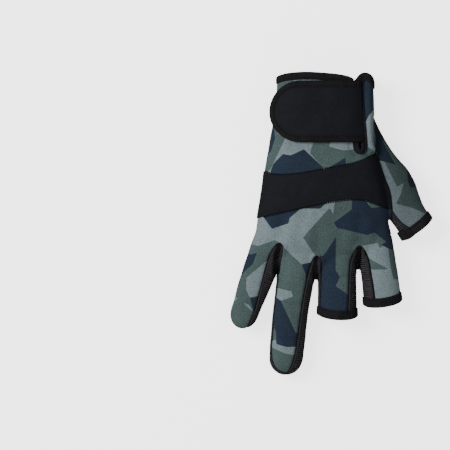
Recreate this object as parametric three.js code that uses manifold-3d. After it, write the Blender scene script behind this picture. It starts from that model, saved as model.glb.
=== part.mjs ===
// Fishing glove for the right hand, lying palm down with its fingers towards -Y and its thumb towards +X.
// The little and ring fingers are closed. The middle finger, index finger and thumb are cut short and bound.
// The glove is one hollow skin: lofts of the hand and of each finger are joined, and the same lofts drawn in by
// the fabric's thickness are taken out. Seam lines seen from above then cut the skin into its sewn panels.
import * as THREE from "three";
import { mergeVertices } from "three/addons/utils/BufferGeometryUtils.js";
import Module from "manifold-3d";

const wasm = await Module();
wasm.setup();

// Driving sizes, in millimetres
const HAND_LENGTH = 152; // line of the finger roots to the top of the cuff
const HAND_WIDTH = 110; // across the knuckles, lying
const HAND_THICKNESS = 33; // floor to the back of the hand
const FABRIC = 2; // thickness of the sewn panels
const SEAM_GAP = 0.3; // clearance between neighbouring pieces
const SEAM_HEIGHT_AT_CUFF = 17; // height of the side seam at the cuff
const SEAM_HEIGHT_AT_ROOTS = 12; // height of the side seam at the finger roots
const BINDING_THICKNESS = 1.2;
const BINDING_WIDTH = 6; // depth of the edge tape on the outside
const STRAP_WIDTH = 52; // along the wrist
const STRAP_THICKNESS = 3.4;
const STRAP_END_RADIUS = 22; // round end of the strap
const STRAP_TRIM_WIDTH = 5; // elastic edging along the strap's long sides
const BAND_THICKNESS = 1; // neoprene band across the knuckles
const SLIT_LENGTH = 53; // cuff edge to the end of the vent
const SLIT_WIDTH = 3;
const PINKY = { length: 95.7, width: 28, thickness: 19.5 };
const RING = { length: 129.8, width: 29.6, thickness: 21.5 };
const MIDDLE = { length: 81.5, width: 30, thickness: 22 };
const INDEX = { length: 70.4, width: 29.6, thickness: 22 };
const THUMB = { length: 100, width: 31, thickness: 22 };

// Clearances that follow from the sizes above
const BOUND = SEAM_GAP + BINDING_THICKNESS; // how far an edge tape stands off the fabric
const FAR = 3 * HAND_LENGTH; // reach of a cutting solid beyond the glove
const KERF = SEAM_GAP; // width of the cut along a seam

// The plan is drawn in shares: x of HAND_WIDTH, y of HAND_LENGTH from the line of the finger roots to the cuff
const plan = (x, y) => new THREE.Vector2(x * HAND_WIDTH, y * HAND_LENGTH);
const planAll = (pairs) => pairs.map(([x, y]) => plan(x, y));

// Sections of the hand. left and right are shares of HAND_WIDTH, high and low of HAND_THICKNESS,
// lift of the height of an edge tape, gather of the depth of the elastic's puckers.
const HAND_ROWS = [
  { along: -0.08, left: -0.46, right: 0.36, high: 0.3, low: 0.16, lift: 0, gather: 0 },
  { along: -0.045, left: -0.51, right: 0.42, high: 0.5, low: 0.04, lift: 0, gather: 0 },
  { along: 0.01, left: -0.55, right: 0.45, high: 0.67, low: 0, lift: 0, gather: 0 },
  { along: 0.09, left: -0.562, right: 0.452, high: 0.82, low: 0, lift: 0, gather: 0 },
  { along: 0.2, left: -0.54, right: 0.448, high: 0.93, low: 0, lift: 0, gather: 0 },
  { along: 0.34, left: -0.518, right: 0.43, high: 0.99, low: 0, lift: 0, gather: 0 },
  { along: 0.48, left: -0.496, right: 0.392, high: 1, low: 0, lift: 0, gather: 0 },
  { along: 0.62, left: -0.46, right: 0.345, high: 0.99, low: 0, lift: 0, gather: 0 },
  { along: 0.735, left: -0.432, right: 0.328, high: 0.96, low: 0, lift: 0, gather: 0.15 },
  { along: 0.78, left: -0.414, right: 0.318, high: 0.94, low: 0.03, lift: 0, gather: 1 },
  { along: 0.83, left: -0.412, right: 0.315, high: 0.95, low: 0, lift: 0, gather: 0.15 },
  { along: 0.92, left: -0.405, right: 0.31, high: 0.94, low: 0, lift: 1, gather: 0 },
  { along: 1.08, left: -0.398, right: 0.305, high: 0.9, low: 0, lift: 1, gather: 0 },
];
const GATHER_DEPTH = 1.4; // puckers of the wrist elastic on the palm side

// Sections of a finger. along is a share of its length, width and thickness of its own width and thickness,
// shift of its width, lift of the height of an edge tape.
const CLOSED_ROWS = [
  { along: 0, width: 0.94, thickness: 1.18, shift: 0, lift: 0 },
  { along: 0.22, width: 1, thickness: 1.12, shift: 0, lift: 0 },
  { along: 0.42, width: 0.99, thickness: 1.02, shift: 0, lift: 0 },
  { along: 0.62, width: 0.94, thickness: 0.95, shift: -0.01, lift: 0 },
  { along: 0.8, width: 0.87, thickness: 0.9, shift: -0.02, lift: 0 },
];
const CUT_ROWS = [
  { along: 0, width: 0.94, thickness: 1.12, shift: 0, lift: 0 },
  { along: 0.3, width: 0.99, thickness: 1.06, shift: 0, lift: 0 },
  { along: 0.6, width: 1, thickness: 1, shift: 0, lift: 0 },
  { along: 0.86, width: 1, thickness: 1, shift: 0, lift: 1 },
  { along: 1.12, width: 1, thickness: 1, shift: 0, lift: 1 },
];
const THUMB_ROWS = [
  { along: 0, width: 0.84, thickness: 0.8, shift: 0.02, lift: 0 },
  { along: 0.22, width: 1.08, thickness: 0.98, shift: 0.12, lift: 0 },
  { along: 0.45, width: 1.15, thickness: 1.05, shift: 0.1, lift: 0 },
  { along: 0.62, width: 1.14, thickness: 1.04, shift: 0.08, lift: 0 },
  { along: 0.84, width: 0.97, thickness: 1, shift: 0.01, lift: 0.5 },
  { along: 0.92, width: 0.9, thickness: 0.98, shift: 0, lift: 1 },
  { along: 1.08, width: 0.86, thickness: 0.96, shift: 0, lift: 1 },
];
const TIP_SHARE = 0.46; // a closed fingertip rounds off over this share of the finger's width
const TIP_STEPS = [0.38, 0.68, 0.89, 0.985];

// Each finger's root in plan shares, its lean from -Y towards +X in degrees, and the shares of its half width
// where the panel of the back and the panel of the palm end on each side, at the root and at the tip.
const FINGERS = {
  pinky: { ...PINKY, root: [-0.391, 0.23], lean: -19, rows: CLOSED_ROWS, closed: true },
  ring: { ...RING, root: [-0.213, 0.23], lean: -6.6, rows: CLOSED_ROWS, closed: true },
  middle: { ...MIDDLE, root: [0.044, 0.23], lean: 0, rows: CUT_ROWS, closed: false },
  index: { ...INDEX, root: [0.326, 0.23], lean: 4.8, rows: CUT_ROWS, closed: false },
  thumb: { ...THUMB, root: [0.1, 0.737], lean: 35, rows: THUMB_ROWS, closed: false },
};

// The strips between the fingers: where each one's seams start on the back and on the palm,
// and how far out across each finger they run, at the root and at the tip
const STRIPS = [
  {
    name: "fourchette_pinky_ring",
    fingers: ["pinky", "ring"],
    back: { apex: [-0.382, 0.092], first: [0.26, 0.62], second: [0.84, 1] },
    palm: { apex: [-0.36, 0.066], first: [0.78, 0.9], second: [0.5, 0.8] },
  },
  {
    name: "fourchette_ring_middle",
    fingers: ["ring", "middle"],
    back: { apex: [-0.105, 0.02], first: [0.6, 0.68], second: [0.83, 0.83] },
    palm: { apex: [-0.098, -0.013], first: [0.93, 0.97], second: [0.68, 0.68] },
  },
  {
    name: "fourchette_middle_index",
    fingers: ["middle", "index"],
    back: { apex: [0.218, 0.076], first: [0.8, 0.62], second: [0.72, 0.34] },
    palm: { apex: [0.195, 0.033], first: [0.76, 0.76], second: [0.93, 0.93] },
  },
];

// Seams and edges in plan shares, each from the wrist towards the fingers
const CUFF_EDGE = [
  [-0.5, 0.93],
  [-0.42, 0.957],
  [-0.38, 0.985],
  [-0.3, 1],
  [-0.16, 1.004],
  [-0.03, 0.998],
  [0.08, 0.987],
  [0.145, 0.972],
  [0.185, 0.957],
  [0.21, 0.962],
  [0.235, 0.99],
  [0.262, 1.002],
  [0.29, 0.99],
  [0.315, 0.95],
  [0.4, 0.9],
];
const THUMB_SEAM_BACK = [
  [0.39, 0.76],
  [0.345, 0.72],
  [0.326, 0.67],
  [0.33, 0.61],
  [0.346, 0.56],
  [0.391, 0.474],
  [0.427, 0.408],
  [0.445, 0.342],
  [0.452, 0.272],
];
const THUMB_LEATHER_EDGE = [
  [0.452, 0.272],
  [0.482, 0.237],
  [0.527, 0.201],
  [0.582, 0.176],
  [0.64, 0.15],
];
const THUMB_SEAM_PALM = [
  [0.212, 0.783],
  [0.173, 0.724],
  [0.141, 0.645],
  [0.136, 0.566],
  [0.145, 0.474],
  [0.182, 0.395],
  [0.245, 0.329],
  [0.309, 0.289],
  [0.382, 0.27],
  [0.437, 0.22],
  [0.47, 0.2],
];
const OUTER_STRIP_EDGE = [
  [0.212, 0.783],
  [0.345, 0.66],
  [0.41, 0.6],
  [0.465, 0.553],
  [0.515, 0.5],
  [0.555, 0.454],
  [0.59, 0.4],
  [0.62, 0.35],
  [0.655, 0.276],
  [0.7, 0.2],
];
const BAND_TOP = [
  [-0.56, 0.5],
  [-0.5, 0.484],
  [-0.455, 0.468],
  [-0.41, 0.461],
  [-0.27, 0.464],
  [-0.09, 0.487],
  [0.09, 0.513],
  [0.182, 0.526],
  [0.255, 0.549],
  [0.336, 0.577],
];
const BAND_BOTTOM = [
  [0.444, 0.278],
  [0.364, 0.296],
  [0.273, 0.322],
  [0.2, 0.332],
  [0.09, 0.33],
  [0, 0.319],
  [-0.136, 0.299],
  [-0.318, 0.27],
  [-0.455, 0.247],
  [-0.58, 0.222],
];
const SLIT_TOP = [0.2, 0.957]; // where the vent opens at the cuff
const SLIT_LEAN = 0.03; // sideways run of the vent over its length
const STRAP_ROOT = 0.25; // where the strap leaves the thumb side, share of HAND_WIDTH
const STRAP_LOW = 0.634; // lower edge of the strap, share of HAND_LENGTH

// Turns three.js geometry into a manifold solid and back
const NEAR = 1e-3; // vertices nearer than this are one
function toSolid(geometry) {
  const bare = geometry.index ? geometry.toNonIndexed() : geometry.clone();
  bare.deleteAttribute("normal");
  bare.deleteAttribute("uv");
  const merged = mergeVertices(bare, NEAR);
  return new wasm.Manifold(
    new wasm.Mesh({
      numProp: 3,
      vertProperties: merged.attributes.position.array,
      triVerts: new Uint32Array(merged.index.array),
    }),
  );
}

function toGeometry(solid) {
  const { vertProperties, triVerts, numProp, numVert } = solid.getMesh();
  const positions = new Float32Array(numVert * 3);
  for (let i = 0; i < numVert; i++) {
    positions.set(vertProperties.subarray(i * numProp, i * numProp + 3), i * 3);
  }
  const geometry = new THREE.BufferGeometry();
  geometry.setAttribute("position", new THREE.BufferAttribute(positions, 3));
  geometry.setIndex(new THREE.BufferAttribute(new Uint32Array(triVerts), 1));
  const flat = geometry.toNonIndexed();
  flat.computeVertexNormals();
  return flat;
}

const largest = (solid) =>
  solid.decompose().reduce((best, next) => (next.volume() > best.volume() ? next : best));
const joinAll = (solids) => solids.reduce((whole, next) => whole.add(next));

// Joins closed rings of equal length into one closed solid, each end capped by a fan
function loft(rings) {
  const count = rings[0].length;
  const positions = [];
  const faces = [];
  for (const ring of rings) {
    for (const p of ring) positions.push(p.x, p.y, p.z);
  }
  for (let r = 0; r + 1 < rings.length; r++) {
    for (let k = 0; k < count; k++) {
      const a = r * count + k;
      const b = r * count + ((k + 1) % count);
      faces.push(a, b, b + count, a, b + count, a + count);
    }
  }
  for (const [r, turned] of [
    [0, true],
    [rings.length - 1, false],
  ]) {
    const hub = positions.length / 3;
    const middle = new THREE.Vector3();
    for (const p of rings[r]) middle.addScaledVector(p, 1 / count);
    positions.push(middle.x, middle.y, middle.z);
    for (let k = 0; k < count; k++) {
      const a = r * count + k;
      const b = r * count + ((k + 1) % count);
      faces.push(...(turned ? [hub, b, a] : [hub, a, b]));
    }
  }
  const geometry = new THREE.BufferGeometry();
  geometry.setAttribute("position", new THREE.Float32BufferAttribute(positions, 3));
  geometry.setIndex(faces);
  return toSolid(geometry);
}

// Height of the side seam, where each section is widest
function seamHeight(y) {
  const rise = (SEAM_HEIGHT_AT_CUFF - SEAM_HEIGHT_AT_ROOTS) / HAND_LENGTH;
  return SEAM_HEIGHT_AT_ROOTS + rise * y;
}

// One section: a flat sole with round corners below the side seam, an arch above it.
// across and up are the section's own axes, and grow draws the outline out or in.
const CORNER_STEPS = 3;
function sectionRing({ centre, across, half, low, middle, high, grow, sole, arch, gather, power }) {
  const reach = half + grow;
  const floor = low - grow;
  const corner = Math.min(0.6 * reach, middle - floor);
  const points = [];
  const put = (u, z) => points.push(new THREE.Vector3(centre.x + across.x * u, centre.y + across.y * u, z));
  for (let k = 0; k <= sole; k++) {
    const pucker = k % 2 === 1 ? gather : 0;
    put((reach - corner) * ((2 * k) / sole - 1), floor + pucker);
  }
  for (let k = 1; k < CORNER_STEPS; k++) {
    const a = (Math.PI / 2) * (k / CORNER_STEPS);
    put(reach - corner + corner * Math.sin(a), middle - (middle - floor) * Math.cos(a));
  }
  for (let k = 0; k <= arch; k++) {
    const a = (Math.PI * k) / arch;
    const c = Math.cos(a);
    const s = Math.sin(a);
    const rise = high + grow - middle;
    put(reach * Math.sign(c) * Math.abs(c) ** (2 / power), middle + rise * Math.abs(s) ** (2 / power));
  }
  for (let k = CORNER_STEPS - 1; k > 0; k--) {
    const a = (Math.PI / 2) * (k / CORNER_STEPS);
    put(corner - reach - corner * Math.sin(a), middle - (middle - floor) * Math.cos(a));
  }
  return points;
}

function handSolid(grow) {
  const rings = HAND_ROWS.map((row) => {
    const y = row.along * HAND_LENGTH;
    const inset = row.along < 0 ? Math.min(grow, 0) : 0; // the end web keeps the fabric's thickness too
    return sectionRing({
      centre: { x: ((row.left + row.right) / 2) * HAND_WIDTH, y: y - (row === HAND_ROWS[0] ? inset : 0) },
      across: { x: -1, y: 0 },
      half: ((row.right - row.left) / 2) * HAND_WIDTH,
      low: row.low * HAND_THICKNESS + row.lift * BOUND,
      middle: seamHeight(y),
      high: row.high * HAND_THICKNESS,
      grow,
      sole: 16,
      arch: 11,
      gather: row.gather * GATHER_DEPTH,
      power: 2.5,
    });
  });
  return loft(rings);
}

// A finger's own frame: its axis in plan and the direction across it
function frameOf(finger) {
  const lean = THREE.MathUtils.degToRad(finger.lean);
  return {
    root: plan(...finger.root),
    along: new THREE.Vector2(Math.sin(lean), -Math.cos(lean)),
    across: new THREE.Vector2(Math.cos(lean), Math.sin(lean)),
  };
}

// A value of a finger's rows at any share of its length
function rowValue(finger, share, name) {
  const rows = finger.rows;
  const last = rows[rows.length - 1];
  if (share >= last.along) return last[name];
  const i = Math.max(1, rows.findIndex((row) => row.along > share));
  const t = (share - rows[i - 1].along) / (rows[i].along - rows[i - 1].along);
  return THREE.MathUtils.lerp(rows[i - 1][name], rows[i][name], Math.max(0, t));
}

// The point on a finger at a share of its length and a share of its half width
function fingerPoint(finger, share, side) {
  const { root, along, across } = frameOf(finger);
  const u = (rowValue(finger, share, "shift") + (side * rowValue(finger, share, "width")) / 2) * finger.width;
  return root
    .clone()
    .addScaledVector(along, share * finger.length)
    .addScaledVector(across, u);
}

function fingerSolid(finger, grow) {
  const { across } = frameOf(finger);
  const tip = TIP_SHARE * finger.width;
  const ring = (share, close, back) => {
    const centre = fingerPoint(finger, share, 0).addScaledVector(frameOf(finger).along, back);
    const middle = seamHeight(centre.y);
    const high = rowValue(finger, share, "thickness") * finger.thickness;
    const half = (rowValue(finger, share, "width") / 2) * finger.width;
    const lift = rowValue(finger, share, "lift") * BOUND;
    return sectionRing({
      centre,
      across: across.clone().negate(),
      half: (half + grow) * close - grow,
      low: middle - ((middle - lift + grow) * close - grow),
      middle,
      high: middle + (high - middle + grow) * close - grow,
      grow,
      sole: 4,
      arch: 9,
      gather: 0,
      power: 2.2,
    });
  };
  if (!finger.closed) return loft(finger.rows.map((row) => ring(row.along, 1, 0)).reverse());
  const start = 1 - tip / finger.length;
  const rings = finger.rows.map((row) => ring(Math.min(row.along, start), 1, 0));
  rings.push(ring(start, 1, 0));
  for (const step of TIP_STEPS) {
    rings.push(ring(start, Math.sqrt(1 - step * step), (tip + grow) * step));
  }
  return loft(rings.reverse());
}

const gloveSolid = (grow) =>
  joinAll([handSolid(grow), ...Object.values(FINGERS).map((finger) => fingerSolid(finger, grow))]);

// An upright solid over an outline in plan
function upright(outline, low = -FAR, high = FAR) {
  const shape = new THREE.Shape(outline);
  const geometry = new THREE.ExtrudeGeometry(shape, { depth: high - low, bevelEnabled: false });
  geometry.translate(0, 0, low);
  return toSolid(geometry);
}

// The space above the side seam, shifted in height by lift, or the slab between two such shifts
function aboveSeam(lift, top = FAR) {
  const ends = [-2 * FAR, 2 * FAR];
  const outline = [
    ...ends.map((y) => new THREE.Vector2(y, seamHeight(y) + lift)),
    ...ends.reverse().map((y) => new THREE.Vector2(y, top === FAR ? FAR : seamHeight(y) + top)),
  ];
  const geometry = new THREE.ExtrudeGeometry(new THREE.Shape(outline), { depth: 2 * FAR, bevelEnabled: false });
  geometry.translate(0, 0, -FAR);
  const turn = new THREE.Matrix4().makeBasis(
    new THREE.Vector3(0, 1, 0),
    new THREE.Vector3(0, 0, 1),
    new THREE.Vector3(1, 0, 0),
  );
  return toSolid(geometry.applyMatrix4(turn));
}

// A smooth line through a few plan points
const smooth = (points, steps) => new THREE.SplineCurve(points).getPoints(steps);

// Points of a line moved sideways by a distance, to its left as it is walked
function moved(points, distance) {
  return points.map((p, i) => {
    const before = points[Math.max(0, i - 1)];
    const after = points[Math.min(points.length - 1, i + 1)];
    const way = after.clone().sub(before).normalize();
    return new THREE.Vector2(p.x - way.y * distance, p.y + way.x * distance);
  });
}

// An upright ribbon along a line, used as the cut of a seam or the reach of an edge tape
const ribbon = (points, right, left) => upright([...moved(points, -right), ...moved(points, left).reverse()]);

// The cut of a seam runs a little past both ends, so that seams which meet cut each other
function kerf(points) {
  const past = (end, next) => end.clone().sub(next).setLength(KERF).add(end);
  const last = points.length - 1;
  return ribbon(
    [past(points[0], points[1]), ...points.slice(1, -1), past(points[last], points[last - 1])],
    KERF / 2,
    KERF / 2,
  );
}

// The seam lines in plan
const cuffEdge = smooth(planAll(CUFF_EDGE), 22);
const thumbSeamBack = smooth(planAll(THUMB_SEAM_BACK), 10);
const thumbLeatherEdge = smooth(planAll(THUMB_LEATHER_EDGE), 4);
const thumbSeamPalm = smooth(planAll(THUMB_SEAM_PALM), 11);
const outerStripEdge = smooth(planAll(OUTER_STRIP_EDGE), 8);
const wristStripEdge = planAll([
  [0.182, 1.1],
  [0.19, 0.86],
  [0.212, 0.783],
]);
const wristStripEnd = planAll([
  [0.6, 0.783],
  [0.212, 0.783],
]);
const crotchLine = planAll([
  [0.452, 0.272],
  [0.443, 0.215],
  [0.47, 0.15],
  [0.53, 0.02],
]);

// The panels' areas in plan
const areas = {
  thumbBack: upright([
    ...thumbSeamBack,
    ...thumbLeatherEdge.slice(1),
    plan(0.9, 0.05),
    plan(1.1, 0.76),
  ]),
  thumbInner: upright([...thumbLeatherEdge, plan(0.62, 0), ...crotchLine.slice(1).reverse()]),
  thumbSole: upright([
    ...thumbSeamPalm.slice(0, -1),
    ...crotchLine.slice(2),
    plan(0.7, 0),
    ...outerStripEdge.slice(1).reverse(),
  ]),
  outerStrip: upright([...outerStripEdge, plan(1.1, 0.1), plan(1.1, 0.783)]),
  wristStrip: upright([...wristStripEdge, plan(0.9, 0.783), plan(0.9, 1.1)]),
  unseamedSide: upright(planAll([[0.2, 1.1], [0.2, 0.783], [2, 0.783], [2, 1.1]])).add(
    upright([...thumbSeamBack, ...crotchLine.slice(1), plan(2, 0), plan(2, 0.76)]),
  ),
};

// The seams of one strip between two fingers: down one finger from the apex, and up the next one
function notchOutline(strip, level) {
  const side = (finger, sign, [atRoot, atTip]) => {
    const crotch = strip[level].apex[1] * HAND_LENGTH;
    const { root, along } = frameOf(finger);
    const from = (crotch - root.y) / along.y / finger.length;
    const to = finger.closed ? 0.975 : 1.1;
    const shares = [0.1, 0.3, 0.55, 0.8, 0.93, 1].map((t) => THREE.MathUtils.lerp(from, to, t));
    return shares.map((share, i) => {
      const t = (share - from) / (to - from);
      const out = finger.closed && i === shares.length - 1 ? 1.1 : THREE.MathUtils.lerp(atRoot, atTip, t);
      return fingerPoint(finger, share, sign * out);
    });
  };
  const [first, second] = strip.fingers.map((name) => FINGERS[name]);
  const down = side(first, 1, strip[level].first);
  const up = side(second, -1, strip[level].second);
  const apex = plan(...strip[level].apex);
  const reach = (p, towards) => p.clone().lerp(towards, 0.25).setY(Math.min(p.y, towards.y) - 0.05 * HAND_LENGTH);
  const lastDown = down[down.length - 1];
  const lastUp = up[up.length - 1];
  return {
    line: [...down.slice().reverse(), apex, ...up],
    outline: [...down.slice().reverse(), apex, ...up, reach(lastUp, lastDown), reach(lastDown, lastUp)],
  };
}
const notches = STRIPS.map((strip) => ({
  name: strip.name,
  back: notchOutline(strip, "back"),
  palm: notchOutline(strip, "palm"),
}));

// The vent at the back of the cuff, a narrow slot with a round end
const slitTop = plan(...SLIT_TOP);
const slitEnd = new THREE.Vector2(slitTop.x + SLIT_LEAN * HAND_WIDTH, slitTop.y - SLIT_LENGTH);
function slitOutline(half, top) {
  const way = slitEnd.clone().sub(slitTop).normalize();
  const side = new THREE.Vector2(-way.y, way.x);
  const points = [slitTop.clone().addScaledVector(side, -half).addScaledVector(way, -top)];
  for (let k = 0; k <= 6; k++) {
    const a = (Math.PI * k) / 6;
    const p = slitEnd.clone().addScaledVector(side, -half * Math.cos(a));
    points.push(p.addScaledVector(way, half * Math.sin(a)));
  }
  points.push(slitTop.clone().addScaledVector(side, half).addScaledVector(way, -top));
  return points;
}

// The openings of the cut fingers and of the thumb: lines across them in plan
function openingLine(finger) {
  const { across } = frameOf(finger);
  const centre = fingerPoint(finger, 1, 0);
  return [-1, -0.5, 0, 0.5, 1].map((t) =>
    centre.clone().addScaledVector(across, t * 0.62 * finger.width),
  );
}
const openings = {
  cuff: cuffEdge,
  middle: openingLine(FINGERS.middle).reverse(),
  index: openingLine(FINGERS.index).reverse(),
  thumb: openingLine(FINGERS.thumb).reverse(),
};
// An upright slab along an opening's line, from a depth inside the glove to a distance outside it.
// Outside is on the left of the line as it is walked.
function along(line, inside, outside) {
  const chord = line[line.length - 1].clone().sub(line[0]).normalize();
  const out = new THREE.Vector2(-chord.y, chord.x);
  const shifted = (distance) => line.map((p) => p.clone().addScaledVector(out, distance));
  return upright([...shifted(-inside), ...shifted(outside).reverse()]);
}
const PAST_END = 0.35 * HAND_LENGTH;

// The skin: outer form less the hollow, open at the cuff and at the cut fingers, slit at the back
const outer = gloveSolid(0);
const hollow = gloveSolid(-FABRIC);
const cutOff = joinAll(Object.values(openings).map((line) => along(line, 0, PAST_END)));
const above = aboveSeam(0);
const slit = upright(slitOutline(SLIT_WIDTH / 2, HAND_LENGTH)).intersect(above);
const skin = outer.subtract(hollow).subtract(cutOff).subtract(slit);

// The seams are cut as narrow kerfs, and the skin falls apart into its panels
const notchOf = (level) => joinAll(notches.map((notch) => upright(notch[level].outline)));
const backNotches = notchOf("back");
const palmNotches = notchOf("palm");
const below = upright(planAll([[-4, -4], [4, -4], [4, 4], [-4, 4]])).subtract(above);
const sideKerf = aboveSeam(-KERF / 2, KERF / 2)
  .subtract(areas.unseamedSide)
  .subtract(backNotches.intersect(palmNotches));
const upperKerfs = joinAll([
  kerf(thumbSeamBack),
  kerf(thumbLeatherEdge),
  kerf(crotchLine),
  ...notches.map((notch) => kerf(notch.back.line)),
]).intersect(aboveSeam(-KERF));
const lowerKerfs = joinAll([
  kerf(thumbSeamPalm),
  kerf(outerStripEdge),
  kerf(wristStripEdge),
  kerf(wristStripEnd),
  ...notches.map((notch) => kerf(notch.palm.line)),
]).subtract(aboveSeam(KERF));
const cut = skin
  .subtract(upperKerfs)
  .subtract(lowerKerfs)
  .subtract(sideKerf)
  .subtract(kerf(crotchLine.slice(1)));

const thumbPanelArea = areas.thumbBack.intersect(above).add(areas.outerStrip.intersect(below));
const thumbPalmArea = areas.thumbSole.intersect(below).subtract(areas.outerStrip).add(areas.thumbInner);
const backArea = above.subtract(areas.thumbBack).subtract(areas.thumbInner).subtract(backNotches).add(areas.wristStrip);
const palmArea = below
  .subtract(areas.thumbSole)
  .subtract(areas.outerStrip)
  .subtract(areas.wristStrip)
  .subtract(palmNotches);

const panels = cut.decompose();
const panelIn = (area) => {
  const shares = panels.map((panel) => panel.intersect(area).volume());
  return panels[shares.indexOf(Math.max(...shares))];
};
const pieces = new Map();
pieces.set("back_panel", panelIn(backArea));
pieces.set("palm_panel", panelIn(palmArea));
pieces.set("thumb_back_panel", panelIn(thumbPanelArea));
pieces.set("thumb_palm_panel", panelIn(thumbPalmArea));
for (const notch of notches) pieces.set(notch.name, panelIn(upright(notch.back.outline).intersect(above)));

// Edge tapes are folded over an edge: outside, round the edge and inside
const tapeOn = (form) => ({
  skin: form(BOUND).subtract(form(-FABRIC - BOUND)),
  fabric: form(SEAM_GAP).subtract(form(-FABRIC - SEAM_GAP)),
});
const cuffTape = tapeOn(handSolid);
const slitTapeWidth = BINDING_WIDTH * 0.55;
const slitSpace = upright(slitOutline(SLIT_WIDTH / 2 + slitTapeWidth + SEAM_GAP, HAND_LENGTH)).intersect(
  aboveSeam(-SEAM_GAP),
);
for (const [name, line] of Object.entries(openings)) {
  const { skin, fabric } = name === "cuff" ? cuffTape : tapeOn((grow) => fingerSolid(FINGERS[name], grow));
  const tape = skin
    .intersect(along(line, BINDING_WIDTH, BOUND))
    .subtract(fabric.intersect(along(line, PAST_END, SEAM_GAP)));
  pieces.set(name + "_binding", largest(name === "cuff" ? tape.subtract(slitSpace) : tape));
}
const slitTape = cuffTape.skin
  .intersect(upright(slitOutline(SLIT_WIDTH / 2 + slitTapeWidth, HAND_LENGTH)).intersect(above))
  .subtract(upright(slitOutline(SLIT_WIDTH / 2 - BOUND + SEAM_GAP * 2, HAND_LENGTH)))
  .subtract(cuffTape.fabric.subtract(upright(slitOutline(SLIT_WIDTH / 2 - SEAM_GAP, HAND_LENGTH))))
  .subtract(along(cuffEdge, BINDING_WIDTH * 0.3, PAST_END));
pieces.set("slit_binding", largest(slitTape));

// The band across the knuckles and the wrist strap lie on the back
const bandOutline = [...smooth(planAll(BAND_TOP), 10), ...smooth(planAll(BAND_BOTTOM), 10)];
const onBack = (low, thickness, outline) =>
  gloveSolid(low + thickness)
    .subtract(gloveSolid(low))
    .intersect(upright(outline));
pieces.set(
  "knuckle_band",
  largest(
    onBack(SEAM_GAP, BAND_THICKNESS, bandOutline)
      .intersect(aboveSeam(0.1 * HAND_THICKNESS))
      .subtract(kerf(thumbSeamBack)),
  ),
);

const strapLow = STRAP_LOW * HAND_LENGTH;
const strapRight = STRAP_ROOT * HAND_WIDTH;
const wrist = HAND_ROWS.find((row) => row.along * HAND_LENGTH > strapLow + STRAP_WIDTH / 2);
const strapLeft = wrist.left * HAND_WIDTH - 1.6 * STRAP_THICKNESS;
function strapOutline(inset) {
  const radius = STRAP_END_RADIUS - inset;
  const low = strapLow + inset;
  const high = strapLow + STRAP_WIDTH - inset;
  const turn = (corner, from) => {
    const points = [];
    for (let k = 0; k <= 6; k++) {
      const a = from + (Math.PI / 2) * (k / 6);
      points.push(new THREE.Vector2(strapLeft + inset + radius * (1 + Math.cos(a)), corner + radius * Math.sin(a)));
    }
    return points;
  };
  return [
    new THREE.Vector2(strapRight, low),
    new THREE.Vector2(strapRight, high),
    ...turn(high - radius, Math.PI / 2),
    ...turn(low + radius, Math.PI),
  ];
}
const underStrap = handSolid(SEAM_GAP)
  .add(handSolid(BOUND + SEAM_GAP).intersect(along(cuffEdge, BINDING_WIDTH + SEAM_GAP, PAST_END)))
  .add(handSolid(BOUND + SEAM_GAP).intersect(slitSpace));
const strapSheet = handSolid(SEAM_GAP + STRAP_THICKNESS)
  .subtract(underStrap)
  .intersect(aboveSeam(0.1 * HAND_THICKNESS));
const strapFace = strapOutline(STRAP_TRIM_WIDTH);
const strapRim = strapOutline(STRAP_TRIM_WIDTH - SEAM_GAP);
pieces.set("wrist_strap", largest(strapSheet.intersect(upright(strapFace))));
pieces.set("strap_trim", largest(strapSheet.intersect(upright(strapOutline(0))).subtract(upright(strapRim))));

// Finishes
const FINISHES = {
  printed_neoprene: { color: 0x5f7272, roughness: 0.85 },
  grip_leather: { color: 0x232226, roughness: 0.55 },
  edge_tape: { color: 0x17171a, roughness: 0.9 },
  black_neoprene: { color: 0x1b1c21, roughness: 0.85 },
};
const finishOf = {
  back_panel: "printed_neoprene",
  thumb_back_panel: "printed_neoprene",
  knuckle_band: "black_neoprene",
  wrist_strap: "black_neoprene",
};
const materialFor = (name) => {
  const tape = name.endsWith("_binding") || name === "strap_trim";
  const finish = finishOf[name] ?? (tape ? "edge_tape" : "grip_leather");
  return new THREE.MeshStandardMaterial({ ...FINISHES[finish], metalness: 0 });
};

// The origin is the middle of the glove's box, on the surface that it lies on
const box = new THREE.Box3();
for (const solid of pieces.values()) {
  const { min, max } = solid.boundingBox();
  box.expandByPoint(new THREE.Vector3(...min)).expandByPoint(new THREE.Vector3(...max));
}
const centre = box.getCenter(new THREE.Vector3());

const glove = new THREE.Group();
for (const [name, solid] of pieces) {
  const placed = toGeometry(solid.translate([-centre.x, -centre.y, -box.min.z]));
  const mesh = new THREE.Mesh(toGeometry(largest(toSolid(placed))), materialFor(name));
  mesh.name = name;
  glove.add(mesh);
}

export default glove;
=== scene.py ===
import math

import bmesh
import bpy
import numpy as np
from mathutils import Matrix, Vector, noise
from mathutils.bvhtree import BVHTree
from mathutils.kdtree import KDTree


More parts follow.
